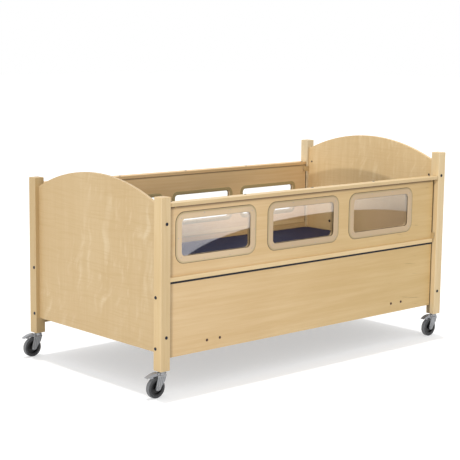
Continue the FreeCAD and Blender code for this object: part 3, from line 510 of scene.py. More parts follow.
def shaded(f, parts, colour, thick, joints, beside):
    """Painted shade: the wood darkened under a joint, beside the foot post, and in the gap between post and
    rail.
    """
    for level, dark_to, fade_to in joints:
        near = 1 - f.step(f.math("ABSOLUTE", parts[2] - level), dark_to, fade_to)
        colour = f.mix(near * 0.8, colour, PAINTED_SHADE_DARK)
    # painted shade at a side panel's end beside the foot post
    if thick == "y":
        ends = f.step(BED_MIDDLE - parts[0], PANEL_SHADE, PANEL_SHADE + 0.02)
        colour = f.mix(ends * 0.45, colour, PAINTED_SHADE_DARK)
    # painted shade in the gap between a post and the end of a rail
    if beside:
        normal = f.split(f.place("Normal"))
        inner_face = 1 - f.step((parts[0] - BED_MIDDLE) * normal[0], -0.5, -0.2)
        reach = f.math("ABSOLUTE", parts[1])
        gap = f.step(reach, *RAIL_INSIDE) * (1 - f.step(reach, *RAIL_OUTSIDE)) * inner_face
        below = 1 - f.step(parts[2], CAP_UNDER - 0.004, CAP_UNDER)
        colour = f.mix(gap * below * 0.75, colour, PAINTED_SHADE_DARK)
    return colour


# %% Maple finish


def maple(name, grain, thick=None, figure=0.0, tone=WHITE, far_light_tone=None, shift=0.0, bands=0.5,
          fleck=0.0, fine=1.0, joints=(), beside=False):
    """Maple with its grain along one axis.

    thick is the axis across a plywood panel, if it is one. figure, bands, fleck and fine are the
    strengths of its patterns, and shift moves them, so that no two pieces look alike. The tone tints
    the wood, and on the frame's pieces it holds their painted light and shade; it goes to
    far_light_tone along the bed, a painted gradient of light. joints are the heights where another
    piece lies against this one and where painted shade lies on it, each with the distances where its
    shade begins to fade and where it ends. beside is for a post, which gets painted shade in the
    narrow gap between it and the rail.
    """
    f = Finish(name)
    place = f.place()
    parts = f.split(place)
    fibre_place = grained(f, parts, grain, FIBRE_STRETCH, shift)
    fibre = f.noise(fibre_place, FIBRES, 5, 0.62)
    streak = f.noise(fibre_place, STREAKS, 3, 0.5, 0.4)
    band = f.noise(grained(f, parts, grain, BAND_STRETCH, shift * 0.37), BANDS, 2.5, 0.45, 1.1)
    cloud = f.noise(place, CLOUDS, 1.5)
    share = (fibre - 0.5) * (0.55 * fine) + (streak - 0.5) * (0.7 * fine) + (band - 0.5) * bands * 1.6 + 0.5
    colour = f.mix(f.step(share, 0.0, 1.0), MAPLE_DEEP, MAPLE_PALE)
    colour = f.mix(0.55, colour, MAPLE)
    colour = f.mix(f.clamp((cloud - 0.42) * 0.6), colour, MAPLE_DEEP)
    height = fibre * 0.6 + streak * 0.4

    if figure:
        colour, ripple = curly(f, parts, colour, thick, figure, shift)
        height = height + ripple * 0.5
    if fleck:
        colour = mineral(f, parts, colour, fleck)
    if thick:
        colour = cut_edge(f, parts, colour, thick)
    else:
        colour = sawn_end(f, place, parts, colour, grain, shift)
    colour = shaded(f, parts, colour, thick, joints, beside)
    # a painted gradient of light along the bed
    if far_light_tone:
        tone = f.mix(f.step(parts[0], -1.0, 1.0), tone, far_light_tone)
    colour = f.mix(1.0, colour, tone, "MULTIPLY")

    rough = (streak - 0.5) * 0.18 + 0.44
    return f.surface(Base_Color=colour, Roughness=rough, Specular_IOR_Level=0.32, Coat_Weight=0.08,
                     Coat_Roughness=0.22, Normal=f.bump(height, 0.22, 0.0004))


# %% Paint the end panels
# The end panels' tones are painted light and shade: the foot panel is darker and the head panel lighter
# than the maple's own colour.
paint(["foot_panel"], maple("maple_foot_panel", "z", "x", 0.8, tone=(0.838, 0.826, 0.824), shift=1.3,
                            bands=0.3, fine=0.55))
paint(["head_panel"], maple("maple_head_panel", "z", "x", 0.6, tone=(1.065, 1.055, 1.05), shift=7.9,
                            bands=0.4, fine=0.7))
print("maple on the end panels")

# %% Paint the sides and the posts
# Each piece's tone is painted light and shade over one maple. The side panels go to their head tone along
# the bed, a painted gradient of light. CAP_SHADE is painted shade under the caps.
PANEL_LIGHT_TONES = {"front": ((1.08, 1.05, 1.06), (0.94, 0.91, 0.8)),
               "rear": ((1.1, 1.03, 0.98), (0.98, 0.94, 0.93))}
CAP_LIGHT_TONES = {"front": (0.93, 0.93, 0.94), "rear": (0.99, 0.91, 0.86)}
SILL_LIGHT_TONE = (1.12, 1.14, 1.18)
CAP_SHADE = {"front": (CAP_UNDER, 0.007, 0.022), "rear": (CAP_UNDER, 0.0, 0.011)}
POST_LIGHT_TONES = {"foot_front": (0.945, 0.945, 0.95), "foot_rear": (0.75, 0.73, 0.69),
              "head_front": (1.06, 1.12, 1.24), "head_rear": (0.95, 1.03, 1.19)}

for side, start in (("front", 0.0), ("rear", 3.7)):
    foot_light_tone, head_light_tone = PANEL_LIGHT_TONES[side]
    paint([f"{side}_lower_panel"], maple(
        f"maple_{side}_lower", "x", "y", tone=foot_light_tone, far_light_tone=head_light_tone, shift=2.1 + start,
        bands=0.55, fleck=0.5))
    paint([f"{side}_rail_panel"], maple(
        f"maple_{side}_rail", "x", "y", tone=foot_light_tone, far_light_tone=head_light_tone, shift=5.3 + start,
        bands=0.5, fleck=0.6, joints=(CAP_SHADE[side],)))
    paint([f"{side}_sill"], maple(f"maple_{side}_sill", "x", tone=SILL_LIGHT_TONE, shift=7.4 + start))
    paint([f"{side}_top_cap"], maple(f"maple_{side}_cap", "x", tone=CAP_LIGHT_TONES[side], shift=6.1 + start))
    for end, more in (("foot", 0.0), ("head", 1.9)):
        paint([f"{end}_post_{side}"], maple(
            f"maple_{end}_{side}_post", "z", tone=POST_LIGHT_TONES[f"{end}_{side}"], shift=0.7 + start + more,
            beside=True))
print("maple on the side panels, caps, sills and posts")

# %% [markdown]
# ## Metals, plastics and rubber
#
# These finishes are small on the bed, and each has its own surface: black oxide on the bolts, bright
# zinc on the casters with the blotches of its coating, grey powder paint on the base with its fine
# orange peel, tan paint on the rails' plates and stops, brass on the slide bolts, grey rubber on the
# wheels and smooth nylon in the bushings.

# %% Small finishes


def metal(name, colour, rough, spots, scale, metallic=1.0):
    """Metal with blotches of its coating, as many as spots says, over a fine grain."""
    f = Finish(name)
    place = f.place()
    blotch = f.noise(place, scale, 3, 0.6)
    fine = f.noise(place, scale * 14, 2, 0.6)
    shade = f.mix(f.clamp((blotch - 0.35) * spots), colour, deeper(colour, 0.62))
    dull = (blotch - 0.5) * 0.25 + (fine - 0.5) * 0.1 + rough
    return f.surface(Base_Color=shade, Metallic=metallic, Roughness=dull, Normal=f.bump(fine, 0.1, 0.0002))


def matt(name, colour, rough, scale, variety=0.25):
    """Paint, rubber or plastic, with a little variety in its colour and a fine peel."""
    f = Finish(name)
    place = f.place()
    wide = f.noise(place, scale * 0.06, 2, 0.5)
    fine = f.noise(place, scale, 3, 0.6)
    shade = f.mix(f.clamp((wide - 0.3) * variety + (fine - 0.5) * variety), colour, deeper(colour, 0.7))
    return f.surface(Base_Color=shade, Roughness=(wide - 0.5) * 0.2 + rough, Specular_IOR_Level=0.4,
                     Normal=f.bump(fine, 0.15, 0.0003))


zinc = metal("zinc_plate", srgb(172, 174, 177), 0.36, 0.9, 60)
black_steel = metal("black_oxide", srgb(42, 45, 56), 0.42, 0.6, 120, 0.6)
bronze_steel = metal("bronze_oxide", srgb(92, 68, 58), 0.42, 0.6, 120, 0.6)
grey_steel = matt("grey_powder_paint", srgb(150, 152, 155), 0.5, 900, 0.12)
nylon = matt("white_nylon", srgb(225, 223, 215), 0.4, 500, 0.1)
bumper = matt("black_bumper_rubber", srgb(34, 36, 44), 0.75, 400)
pale_rubber = matt("pale_bumper_rubber", srgb(196, 178, 140), 0.7, 400)
hub_plastic = matt("black_hub_plastic", srgb(26, 26, 28), 0.4, 800)
brass = metal("slide_bolt_brass", srgb(186, 158, 108), 0.42, 0.5, 90, 0.7)
tan_paint = matt("tan_powder_paint", srgb(198, 170, 122), 0.5, 900, 0.12)
# dark rubber of the gaskets, whose darkness is partly painted shade at the trims' edges
gasket_rubber_and_shade = matt("brown_gasket_and_shade", srgb(78, 66, 52), 0.7, 600)
cap_screw_steel = metal("cap_screw_steel", srgb(96, 98, 104), 0.38, 0.6, 120, 0.8)
pedal_steel = metal("pedal_zinc", srgb(158, 160, 164), 0.48, 0.8, 70, 0.7)
print("small finishes are mixed")

# %% Tyre and fork
CASTER_X = 1.0221
TYRE_LINE_APART = 0.0035
FORK_BEAD_APART = 0.0115
FORK_BEAD_SHIFT = 0.0095
FORK_LEAN = 0.18
FORK_LEVEL = 0.109
FORK_LEG_TOP = (0.100, 0.106)


def tyre_finish():
    """Grey rubber: a scuffed tread, fine moulding lines round it, and darker walls."""
    f = Finish("grey_tyre_rubber")
    place = f.place()
    wall = f.step(f.facing("y"), 0.35, 0.8)
    scuff = f.noise(place, 90, 3, 0.6)
    fine = f.noise(place, 900, 2, 0.6)
    line = f.wave(f.split(place)[1], TYRE_LINE_APART)
    tread = f.mix(f.clamp((scuff - 0.4) * 0.8), srgb(118, 119, 121), srgb(88, 89, 91))
    shade = f.mix(wall, tread, srgb(66, 67, 69))
    return f.surface(Base_Color=shade, Roughness=(scuff - 0.5) * 0.2 + 0.6, Specular_IOR_Level=0.35,
                     Normal=f.bump(fine * 0.4 + line * (1 - wall) * 0.3, 0.3, 0.0004))


def fork_finish():
    """Pressed zinc-plated sheet: two shallow beads run down each leg, and it is darker beside them."""
    f = Finish("fork_zinc")
    place = f.place()
    x, _, z = f.split(place)
    end = f.math("SIGN", x - BED_MIDDLE)
    across = x - BED_MIDDLE - end * CASTER_X - (z - FORK_LEVEL) * FORK_LEAN
    flat = f.step(f.facing("y"), 0.6, 0.9)
    leg = flat * (1 - f.step(z, *FORK_LEG_TOP))
    bead = f.wave(across + FORK_BEAD_SHIFT, FORK_BEAD_APART, "COSINE")
    blotch = f.noise(place, 60, 3, 0.6)
    fine = f.noise(place, 840, 2, 0.6)
    shade = f.mix(f.clamp((blotch - 0.35) * 0.9), srgb(168, 170, 172), srgb(128, 130, 133))
    shade = f.mix(f.clamp(leg * (0.5 - bead * 0.5) * 0.7), shade, srgb(104, 106, 110))
    shade = f.mix((1 - flat) * 0.25, shade, srgb(215, 217, 220))
    return f.surface(Base_Color=shade, Metallic=0.75, Roughness=(blotch - 0.5) * 0.25 + 0.4,
                     Normal=f.bump(fine * 0.2 + leg * bead, 0.5, 0.0007))


tyre_rubber = tyre_finish()
fork_zinc = fork_finish()
print("tyre and fork finishes are mixed")

# %% Paint the small pieces
paint(["frame_bolts", "frame_nuts", "front_cap_screws", "rear_cap_screws"], black_steel)
paint(["caster_stems", "corner_braces"], zinc)
paint(["rail_stops", "front_pivot_plates", "rear_pivot_plates"], tan_paint)
paint(["stop_bumpers"], pale_rubber)
paint(["post_bushings"], nylon)
paint(["bearers", "base_frame"], grey_steel)
for side in ("front", "rear"):
    for end in ("foot", "head"):
        paint([f"{end}_{side}_slide_bolt"], brass)
        paint([f"{end}_{side}_caster_fork"], fork_zinc)
        paint([f"{end}_{side}_caster_pedal"], pedal_steel)
        paint([f"{end}_{side}_caster_tyre"], tyre_rubber)
        paint([f"{end}_{side}_caster_hub"], hub_plastic)
print("small finishes are on")

# %% Slats
paint(["slats"], maple("poplar_slats", "y", tone=(0.93, 0.9, 0.84), shift=11.0, bands=0.8))
print("the slats are poplar")

# %% [markdown]
# ## Clear windows
#
# The windows are clear plastic sheet. It shows mostly what is behind it, with the room's reflection on
# top, so a see-through shader is mixed with a mirror by the angle that it is seen at.

# %% Panes
PANE_CLEAR = (0.97, 0.975, 0.97)
PANE_ROUGH = 0.02
PANE_GRAZING = 0.6
PANE_MIRRORS = {"front": 0.18, "rear": 0.03}


def clear_sheet(name, square):
    """A clear sheet that mirrors the share square of the light that meets it head on."""
    f = Finish(name)
    through = f.node("ShaderNodeBsdfTransparent", None, {"Color": PANE_CLEAR})
    shine = f.node("ShaderNodeBsdfGlossy", None, {"Color": WHITE, "Roughness": PANE_ROUGH})
    facing = f.node("ShaderNodeLayerWeight", None, {"Blend": 0.5}, "Facing")
    mirror = f.clamp(facing ** 4 * PANE_GRAZING + square)
    return f.shows(f.node("ShaderNodeMixShader", None, {0: mirror, 1: through, 2: shine}))


for side, square in PANE_MIRRORS.items():
    paint([f"{side}_panes"], clear_sheet(f"clear_sheet_{side}", square))
print("panes are clear")

# %% [markdown]
# ## Making pieces
#
# New pieces are shaped in a bmesh and handed to one helper, which makes the mesh, its finish, its slot
# and the body that it moves with.

# %% One helper for every new piece
MM = 0.001
SAME_POINT = 1e-6


def finished(name, shape, body, material, smooth=35, replaced=()):
    """A piece from a bmesh: its doubles merged, its faces turned outward, its edges kept crisp."""
    bmesh.ops.remove_doubles(shape, verts=shape.verts, dist=SAME_POINT)
    bmesh.ops.recalc_face_normals(shape, faces=shape.faces)
    for face in shape.faces:
        face.smooth = True
    for edge in shape.edges:
        if len(edge.link_faces) == 2:
            edge.smooth = edge.calc_face_angle(0) < math.radians(smooth)
    piece = placed(name, shape, material)
    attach(piece, body)
    if replaced:
        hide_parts(*replaced)
    return piece


def copied(into, part, matrix):
    """Copies a small bmesh into a larger one, moved by a matrix."""
    made = part.copy()
    bmesh.ops.transform(made, matrix=matrix, verts=made.verts)
    mesh = bpy.data.meshes.new("copy")
    made.to_mesh(mesh)
    into.from_mesh(mesh)
    bpy.data.meshes.remove(mesh)
    made.free()


# %% [markdown]
# ## Window trims
#
# Each window has a moulded ring outside, that covers the pane's edge: it rises in a short slope from
# the panel, runs flat, and falls in a bevel to the opening. Rounded rectangles of one size after
# another, bridged in turn, give that profile all the way round, with even corners.

# %% A ring from rounded rectangles
CORNER_STEPS = 10
APART = 0.5


def rounded_loop(shape, middle, wide, tall, corner, depth):
    """The edges of one rounded rectangle that stands upright, square to Y."""
    made = bmesh.ops.create_grid(shape, x_segments=1, y_segments=1, size=0.5)["verts"]
    bmesh.ops.scale(shape, vec=(wide, tall, 1), verts=made)
    bmesh.ops.rotate(shape, cent=(0, 0, 0), matrix=UPRIGHT, verts=made)
    bmesh.ops.bevel(shape, geom=made, offset=corner, offset_type="OFFSET", affect="VERTICES",
                    segments=CORNER_STEPS, profile=0.5, material=-1)
    face = next(face for face in shape.faces if len(face.verts) > 4 and not face.tag)
    loop = list(face.edges)
    bmesh.ops.translate(shape, vec=(middle[0], depth, middle[1]), verts=list(face.verts))
    bmesh.ops.delete(shape, geom=[face], context="FACES_ONLY")
    return loop


def ring(shape, middle, outer, outer_corner, inner, inner_corner, profile):
    """A closed ring: profile is rows of a share of the way in and the depth there.

    The loops are bridged while they stand apart, because loops in one plane are paired badly.
    """
    if "band" not in shape.verts.layers.float:
        shape.verts.layers.float.new("band")
    loops = []
    for i, (share, depth) in enumerate(profile):
        size = [far + (near - far) * share for far, near in zip(outer, inner)]
        corner = outer_corner + (inner_corner - outer_corner) * share
        loops.append(rounded_loop(shape, middle, *size, corner, APART * i))
    rims = [list({vertex for edge in loop for vertex in edge.verts}) for loop in loops]
    for near, far in zip(loops, loops[1:] + loops[:1]):
        made = bmesh.ops.bridge_loops(shape, edges=near + far)
        for face in made["faces"]:
            face.tag = True
    for i, (rim, (share, depth)) in enumerate(zip(rims, profile)):
        bmesh.ops.translate(shape, vec=(0, depth - APART * i, 0), verts=rim)
        for vertex in rim:
            vertex[shape.verts.layers.float["band"]] = share


# %% The windows' places, in mm
WINDOWS = {
    "front": {"middles": (-642.85, -35.25, 572.35), "wide": 450, "tall": 181, "corner": 22, "low": 667,
              "side": -1},
    "rear": {"middles": (-376.25, 158.75, 693.75), "wide": 428, "tall": 156, "corner": 18, "low": 643,
             "side": 1},
}
WINDOW_COUNT = sum(len(window["middles"]) for window in WINDOWS.values())
SIDE_FACE = 520.5
SIDE_INNER = 501.5
PANE_BACK = 516.5
TRIM_WIDE = (37, 33.5)
TRIM_CORNER = 52
INNER_BAND = 20
GASKET = 2.0

# the sections of the rings: a share of the way in to the opening, and how proud it stands there
OUTER_PROFILE = ((0.0, 0.0), (0.0, 1.6), (0.03, 2.3), (0.10, 3.0), (0.44, 4.2), (0.50, 4.2), (0.53, 3.6),
                 (0.56, 3.6), (0.59, 4.0), (0.88, 3.6), (0.95, 3.1), (1.0, 1.4), (1.0, 0.0), (0.66, 0.0),
                 (0.33, 0.0))
INNER_PROFILE = ((0.0, 0.0), (0.0, 1.4), (0.12, 2.6), (0.25, 3.0), (0.8, 3.0), (0.93, 2.5), (1.0, 1.2),
                 (1.0, 0.0), (0.5, 0.0))
GASKET_PROFILE = ((0.0, 0.0), (0.0, 0.7), (0.5, 1.0), (1.0, 1.0), (1.0, 0.0))

# %% Trim plastic
BAND_TURNS = (0.12, 0.30)
TRIM_SHADE_ALONG = (-0.55, -0.25)
TRIM_SHADE_HIGH = (0.862, 0.885)
TRIM_LIT = (1.04, 1.04, 1.04)
TRIM_SHADED = (0.84, 0.82, 0.8)


def trim_finish(name, outer, inner, speck_colour):
    """Moulded plastic in two tones: a wide outer band, and a lip along the opening.

    It has painted shade toward the head end and along its upper edge.
    """
    f = Finish(name)
    place = f.place()
    along, _, high = f.split(place)
    # painted shade: deeper toward the head end and along the upper edge
    deep = f.math("MAXIMUM", f.step(along, *TRIM_SHADE_ALONG), f.step(high, *TRIM_SHADE_HIGH))
    speck = f.noise(place, 1400, 2, 0.6)
    wide = f.noise(place, 9, 2)
    band = f.node("ShaderNodeAttribute", {"attribute_name": "band"}, out="Fac")
    shade = f.mix(f.step(band, *BAND_TURNS), outer, inner)
    shade = f.mix(f.clamp((wide - 0.4) * 0.4), shade, deeper(inner, 0.86))
    shade = f.mix(f.clamp((speck - 0.56) * 1.6), shade, speck_colour)
    shade = f.mix(1.0, shade, f.mix(deep, TRIM_LIT, TRIM_SHADED), "MULTIPLY")
    return f.surface(Base_Color=shade, Roughness=0.48 + (speck - 0.5) * 0.15, Specular_IOR_Level=0.4,
                     Normal=f.bump(speck, 0.12, 0.0002))


taupe = trim_finish("taupe_trim", srgb(200, 180, 138), srgb(219, 193, 156), srgb(176, 150, 116))
# The rear liners' olive plastic is a darker, greener copy of the taupe: painted shade on the rear rail's
# inner side.
shaded_olive = trim_finish("shaded_olive_liner", srgb(176, 158, 108), srgb(188, 168, 120), srgb(140, 122, 84))
print("trim plastics are mixed")

# %% Trims, liners and gaskets


def grown(size, band):
    """A width and a height with a band added at every side."""
    return [edge + 2 * band for edge in size]


def window_ring(shape, middle, outer, outer_corner, inner, inner_corner, profile, face, rise):
    """A ring given in mm: its profile begins at a face, a distance along Y, and rises by its factor."""
    rows = [(share, (face + height * rise) * MM) for share, height in profile]
    ring(shape, [part * MM for part in middle], [part * MM for part in outer], outer_corner * MM,
         [part * MM for part in inner], inner_corner * MM, rows)


for side, window in WINDOWS.items():
    way = window["side"]
    outer_shape, inner_shape, gasket_shape = bmesh.new(), bmesh.new(), bmesh.new()
    hole, corner = (window["wide"], window["tall"]), window["corner"]
    outside = [edge + 2 * band for edge, band in zip(hole, TRIM_WIDE)]
    for middle_x in window["middles"]:
        middle = (middle_x, window["low"] + window["tall"] / 2)
        window_ring(outer_shape, middle, outside, TRIM_CORNER, hole, corner,
                    OUTER_PROFILE, way * SIDE_FACE, way)
        window_ring(inner_shape, middle, grown(hole, INNER_BAND), corner + INNER_BAND, hole, corner,
                    INNER_PROFILE, way * SIDE_INNER, -way)
        # dark gasket rings at the trim's outer edge and at the back of the opening; their dark colour also
        # stands for the shade lines there, so they are partly painted shade
        window_ring(gasket_shape, middle, grown(outside, GASKET), TRIM_CORNER + GASKET,
                    outside, TRIM_CORNER, GASKET_PROFILE, way * SIDE_FACE, way)
        window_ring(gasket_shape, middle, hole, corner, grown(hole, -GASKET), corner - GASKET,
                    GASKET_PROFILE, way * PANE_BACK, -2 * way)
    rail, liner = f"{side}_rail", taupe if side == "front" else shaded_olive
    finished(f"{side}_window_trims", outer_shape, rail, taupe, smooth=30,
             replaced=[f"{side}_outer_trims"])
    finished(f"{side}_window_liners", inner_shape, rail, liner, smooth=40,
             replaced=[f"{side}_inner_trims"])
    finished(f"{side}_window_gaskets", gasket_shape, rail, gasket_rubber_and_shade)
print("trims on", WINDOW_COUNT, "windows")

# %% [markdown]
# ## Bolts and screws
#
# Every visible fastener is a low button head with a hexagonal socket. One function turns rows of radius
# and height into a head and its shank, and sinks the socket into it. Loops of 24 points all have the
# same count, so each one is bridged to the next.

# %% A button head with a socket
AROUND = 24
SOCKET_SIDES = 6

# the socket's section: shares of its radius and of its depth
SOCKET_SECTION = ((1.0, 0.0), (0.94, 0.4), (0.9, 1.0))
# the head's section, from under its rim to its flat top: shares of its radius and of its height
HEAD_SECTION = ((0.97, 0.0), (1.0, 0.12), (1.0, 0.25), (0.96, 0.5), (0.86, 0.76), (0.72, 0.94), (0.6, 1.0))


def edges_of(points):
    return list({edge for point in points for edge in point.link_edges})


def turned(shape, rows, socket, deep):
    """A turned shape along Z from rows of radius and height, with a hexagonal socket in its top."""
    loops = []
    for radius, height in rows:
        made = bmesh.ops.create_circle(shape, segments=AROUND, radius=radius)["verts"]
        bmesh.ops.translate(shape, vec=(0, 0, height), verts=made)
        loops.append(edges_of(made))
    top = rows[-1][1]
    for share, sunk in SOCKET_SECTION:
        made = bmesh.ops.create_circle(shape, segments=SOCKET_SIDES, radius=socket * share)["verts"]
        bmesh.ops.translate(shape, vec=(0, 0, top - sunk * deep), verts=made)
        cut = bmesh.ops.subdivide_edges(shape, edges=edges_of(made), cuts=AROUND // SOCKET_SIDES - 1)
        loops.append(edges_of(part for part in cut["geom_inner"] if isinstance(part, bmesh.types.BMVert)))
    for near, far in zip(loops, loops[1:]):
        bmesh.ops.bridge_loops(shape, edges=near + far)
    for loop in (loops[0], loops[-1]):
        bmesh.ops.contextual_create(shape, geom=loop)


def head_rows(across, tall, shank, long):
    """The rows of a button head on a shank that runs down from it and ends in a small chamfer."""
    half, thin = across / 2, shank / 2
    rows = [(thin * 0.8, -long), (thin, -long + thin * 0.25), (thin, 0)]
    return rows + [(half * wide, tall * high) for wide, high in HEAD_SECTION]


def fasteners(kind, places):
    """Heads of one kind in a bmesh: each has its place in mm, the way its head faces and its length."""
    across, tall, shank, socket, deep = kind
    shape = bmesh.new()
    for place, way, long in places:
        one = bmesh.new()
        rows = [(radius * MM, height * MM) for radius, height in head_rows(across, tall, shank, long)]
        turned(one, rows, socket * MM, deep * MM)
        turn = Vector(way).to_track_quat("Z", "Y").to_matrix().to_4x4()
        copied(shape, one, Matrix.Translation(Vector(place) * MM) @ turn)
        one.free()
    return shape


# %% The kinds of fastener
# in mm: across its head, its head's height, its shank, its socket's radius and its socket's depth
FRAME_BOLT = (16.8, 3.0, 8.0, 2.9, 1.9)
BEARER_BOLT = (14.4, 3.0, 8.0, 2.9, 1.9)
CAP_SCREW = (12.4, 2.2, 5, 2.2, 1.4)
TRIM_SCREW = (4.6, 0.9, 2.4, 0.9, 0.5)
CRISP = 32

# %% Bolts of the frame
ORIGIN = Vector((31.75, 0, 129))
POST_FACE, END_FACE, END_MIDDLE, SIDE_MIDDLE = 552.5, 1050.6, 1017.8, 511.0
IN_PANEL, THROUGH, IN_HEAD_PANEL = 95.0, 29.5, 9.5
LONG_BOLTS = {-1: (163, 708), 1: (134, 808)}
SIDE_BOLTS = (106.5, 355)
BEARER_X, BEARER_BOLTS_HALF, BEARER_HIGH = 690, 42.5, 104
HEAD_PANEL_FACES = {-1: 1008.3, 1: 1027.3}
HEAD_PANEL_Y, HEAD_PANEL_HIGH = 304, 449


def on_bed(x, y, z):
    """A place that is counted from the middle of the posts' lower ends."""
    return Vector((x, y, z)) + ORIGIN


bolts, bearer_bolts = [], []
for end in (-1, 1):
    for side in (-1, 1):
        bolts += [(on_bed(end * END_MIDDLE, side * POST_FACE, z), (0, side, 0), IN_PANEL)
                  for z in LONG_BOLTS[end]]
        bolts += [(on_bed(end * END_FACE, side * SIDE_MIDDLE, z), (end, 0, 0), IN_PANEL)
                  for z in SIDE_BOLTS]
        for turn in (-1, 1):
            x = end * BEARER_X + turn * BEARER_BOLTS_HALF
            bearer_bolts.append((on_bed(x, side * SIDE_FACE, BEARER_HIGH), (0, side, 0), THROUGH))
for side in (-1, 1):
    bolts += [(on_bed(face, side * HEAD_PANEL_Y, HEAD_PANEL_HIGH), (way, 0, 0), IN_HEAD_PANEL)
              for way, face in HEAD_PANEL_FACES.items()]
finished("frame_bolt_heads", fasteners(FRAME_BOLT, bolts), "bed_frame", black_steel, CRISP,
         ["frame_bolts"])
finished("bearer_bolt_heads", fasteners(BEARER_BOLT, bearer_bolts), "bed_frame",
         bronze_steel, CRISP)
print("bolts:", len(bolts) + len(bearer_bolts))

# %% Screws of the caps and the trims
SCREW_XS = (-960, -480, 0, 480, 960)
CAP_TOP = 806
CAP_SCREW_LONG, TRIM_SCREW_LONG = 51, 5
TRIM_TOP = 3.85
SPOT_REACH = (24, 22)

# two screws in every long side of a trim, one in every short side, and one near each corner
SPOTS = ((0.34, 1), (-0.34, 1), (0.34, -1), (-0.34, -1), (1, 0), (-1, 0), (0.93, 0.85), (-0.93, 0.85),
         (0.93, -0.85), (-0.93, -0.85))

for side, window in WINDOWS.items():
    way = window["side"]
    places = [(on_bed(x, way * SIDE_MIDDLE, CAP_TOP), (0, 0, 1), CAP_SCREW_LONG) for x in SCREW_XS]
    finished(f"{side}_cap_screw_heads", fasteners(CAP_SCREW, places), f"{side}_rail",
             cap_screw_steel, CRISP, [f"{side}_cap_screws"])
    reach_x, reach_z = window["wide"] / 2 + SPOT_REACH[0], window["tall"] / 2 + SPOT_REACH[1]
    middle_z = window["low"] + window["tall"] / 2
    places = [((middle_x + share_x * reach_x, way * (SIDE_FACE + TRIM_TOP), middle_z + share_z * reach_z),
               (0, way, 0), TRIM_SCREW_LONG)
              for middle_x in window["middles"] for share_x, share_z in SPOTS]
    finished(f"{side}_trim_screws", fasteners(TRIM_SCREW, places), f"{side}_rail", zinc, CRISP)
print("cap screws:", len(WINDOWS) * len(SCREW_XS), "trim screws:", WINDOW_COUNT * len(SPOTS))

# %% [markdown]
# A rubber strip grips the top edge of each lower panel and closes the gap under the folding rail's
# sill, so that no bedding or finger goes in there. It shows as the dark line under the sill. A tan lip
# lies behind it, on the inside.

# %% Strips under the sills
SEAL_LOW, SEAL_HALF = 415.0, 992.0
STRIPS = {
    # name: from and to, out from the bed's middle; low and high, up from SEAL_LOW; its round edge, finish
    "gap_strip": (511.5, 520.5, 0.0, 7.6, 1.2, bumper),
    "gap_strip_grip": (520.5, 522.0, -4.0, 6.0, 0.6, bumper),
    "gap_lip": (502.5, 511.0, 0.0, 7.4, 1.0, tan_paint),
}


def strip(name, way, near, far, low, high, round_edge, material):
    """A long strip on a lower panel, with its upper long edges rounded."""
    shape = bmesh.new()
    bmesh.ops.create_cube(shape, size=1)
    size = Vector((2 * SEAL_HALF, far - near, high - low)) * MM
    bmesh.ops.scale(shape, vec=size, verts=shape.verts)
    long_edges = [edge for edge in shape.edges
                  if abs((edge.verts[0].co - edge.verts[1].co).x) > 1 and edge.verts[0].co.z > 0]
    bmesh.ops.bevel(shape, geom=long_edges, offset=round_edge * MM, offset_type="OFFSET", affect="EDGES",
                    segments=3, profile=0.5, material=-1)
    middle = on_bed(0, way * (near + far) / 2, SEAL_LOW + (low + high) / 2)
    bmesh.ops.translate(shape, vec=middle * MM, verts=shape.verts)
    return finished(name, shape, "bed_frame", material)


for side, window in WINDOWS.items():
    for name, facts in STRIPS.items():
        strip(f"{side}_{name}", window["side"], *facts)
print("strips under both sills")

# %% [markdown]
# ## The mattress
#
# A firm foam core in a navy cover, sewn from a top, a bottom and a border, with piping in both seams.
# The block is shrunk a little, then blown up by a cloth simulation with its pressure on and gravity
# off, so that the panels crown and the corners pull in as they do on a stuffed piece.

# %% A block to blow up
MATTRESS_LOW, MATTRESS_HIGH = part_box("mattress")
MATTRESS_MIDDLE = (MATTRESS_LOW + MATTRESS_HIGH) / 2
MATTRESS_CORNER = 0.036
MATTRESS_EDGE = 0.009
SHRINK = 0.005
VOXEL = 0.016


def mattress_block():
    """A box with rounded corners and edges, a little smaller than the space of the mattress."""
    shape = bmesh.new()
    bmesh.ops.create_cube(shape, size=1)
    size = MATTRESS_HIGH - MATTRESS_LOW - Vector((2 * SHRINK, 2 * SHRINK, SHRINK / 4))
    bmesh.ops.scale(shape, vec=size, verts=shape.verts)
    upright = [edge for edge in shape.edges if abs((edge.verts[0].co - edge.verts[1].co).z) > 0.01]
    bmesh.ops.bevel(shape, geom=upright, offset=MATTRESS_CORNER, offset_type="OFFSET", affect="EDGES",
                    segments=6, profile=0.5, material=-1)
    rims = [edge for edge in shape.edges if abs((edge.verts[0].co - edge.verts[1].co).z) < 1e-5]
    bmesh.ops.bevel(shape, geom=rims, offset=MATTRESS_EDGE, offset_type="OFFSET", affect="EDGES",
                    segments=4, profile=0.5, material=-1)
    place = (MATTRESS_MIDDLE.x, MATTRESS_MIDDLE.y, MATTRESS_LOW.z + size.z / 2)
    bmesh.ops.translate(shape, vec=place, verts=shape.verts)
    return shape


def applied(piece):
    """The piece's mesh as its modifiers leave it."""
    graph = bpy.context.evaluated_depsgraph_get()
    mesh = bpy.data.meshes.new_from_object(piece.evaluated_get(graph), depsgraph=graph)
    piece.modifiers.clear()
    piece.data = mesh
    return mesh


mattress = placed("mattress_cover", mattress_block())
remesh = mattress.modifiers.new("even", "REMESH")
remesh.mode = "VOXEL"
remesh.voxel_size = VOXEL
applied(mattress)
print("mattress block:", len(mattress.data.vertices), "points")

# %% Blow it up
PRESSURE = 4
TENSION = 25
BENDING = 2
CLOTH_STEPS = 20
MOST_SWELL = 0.011


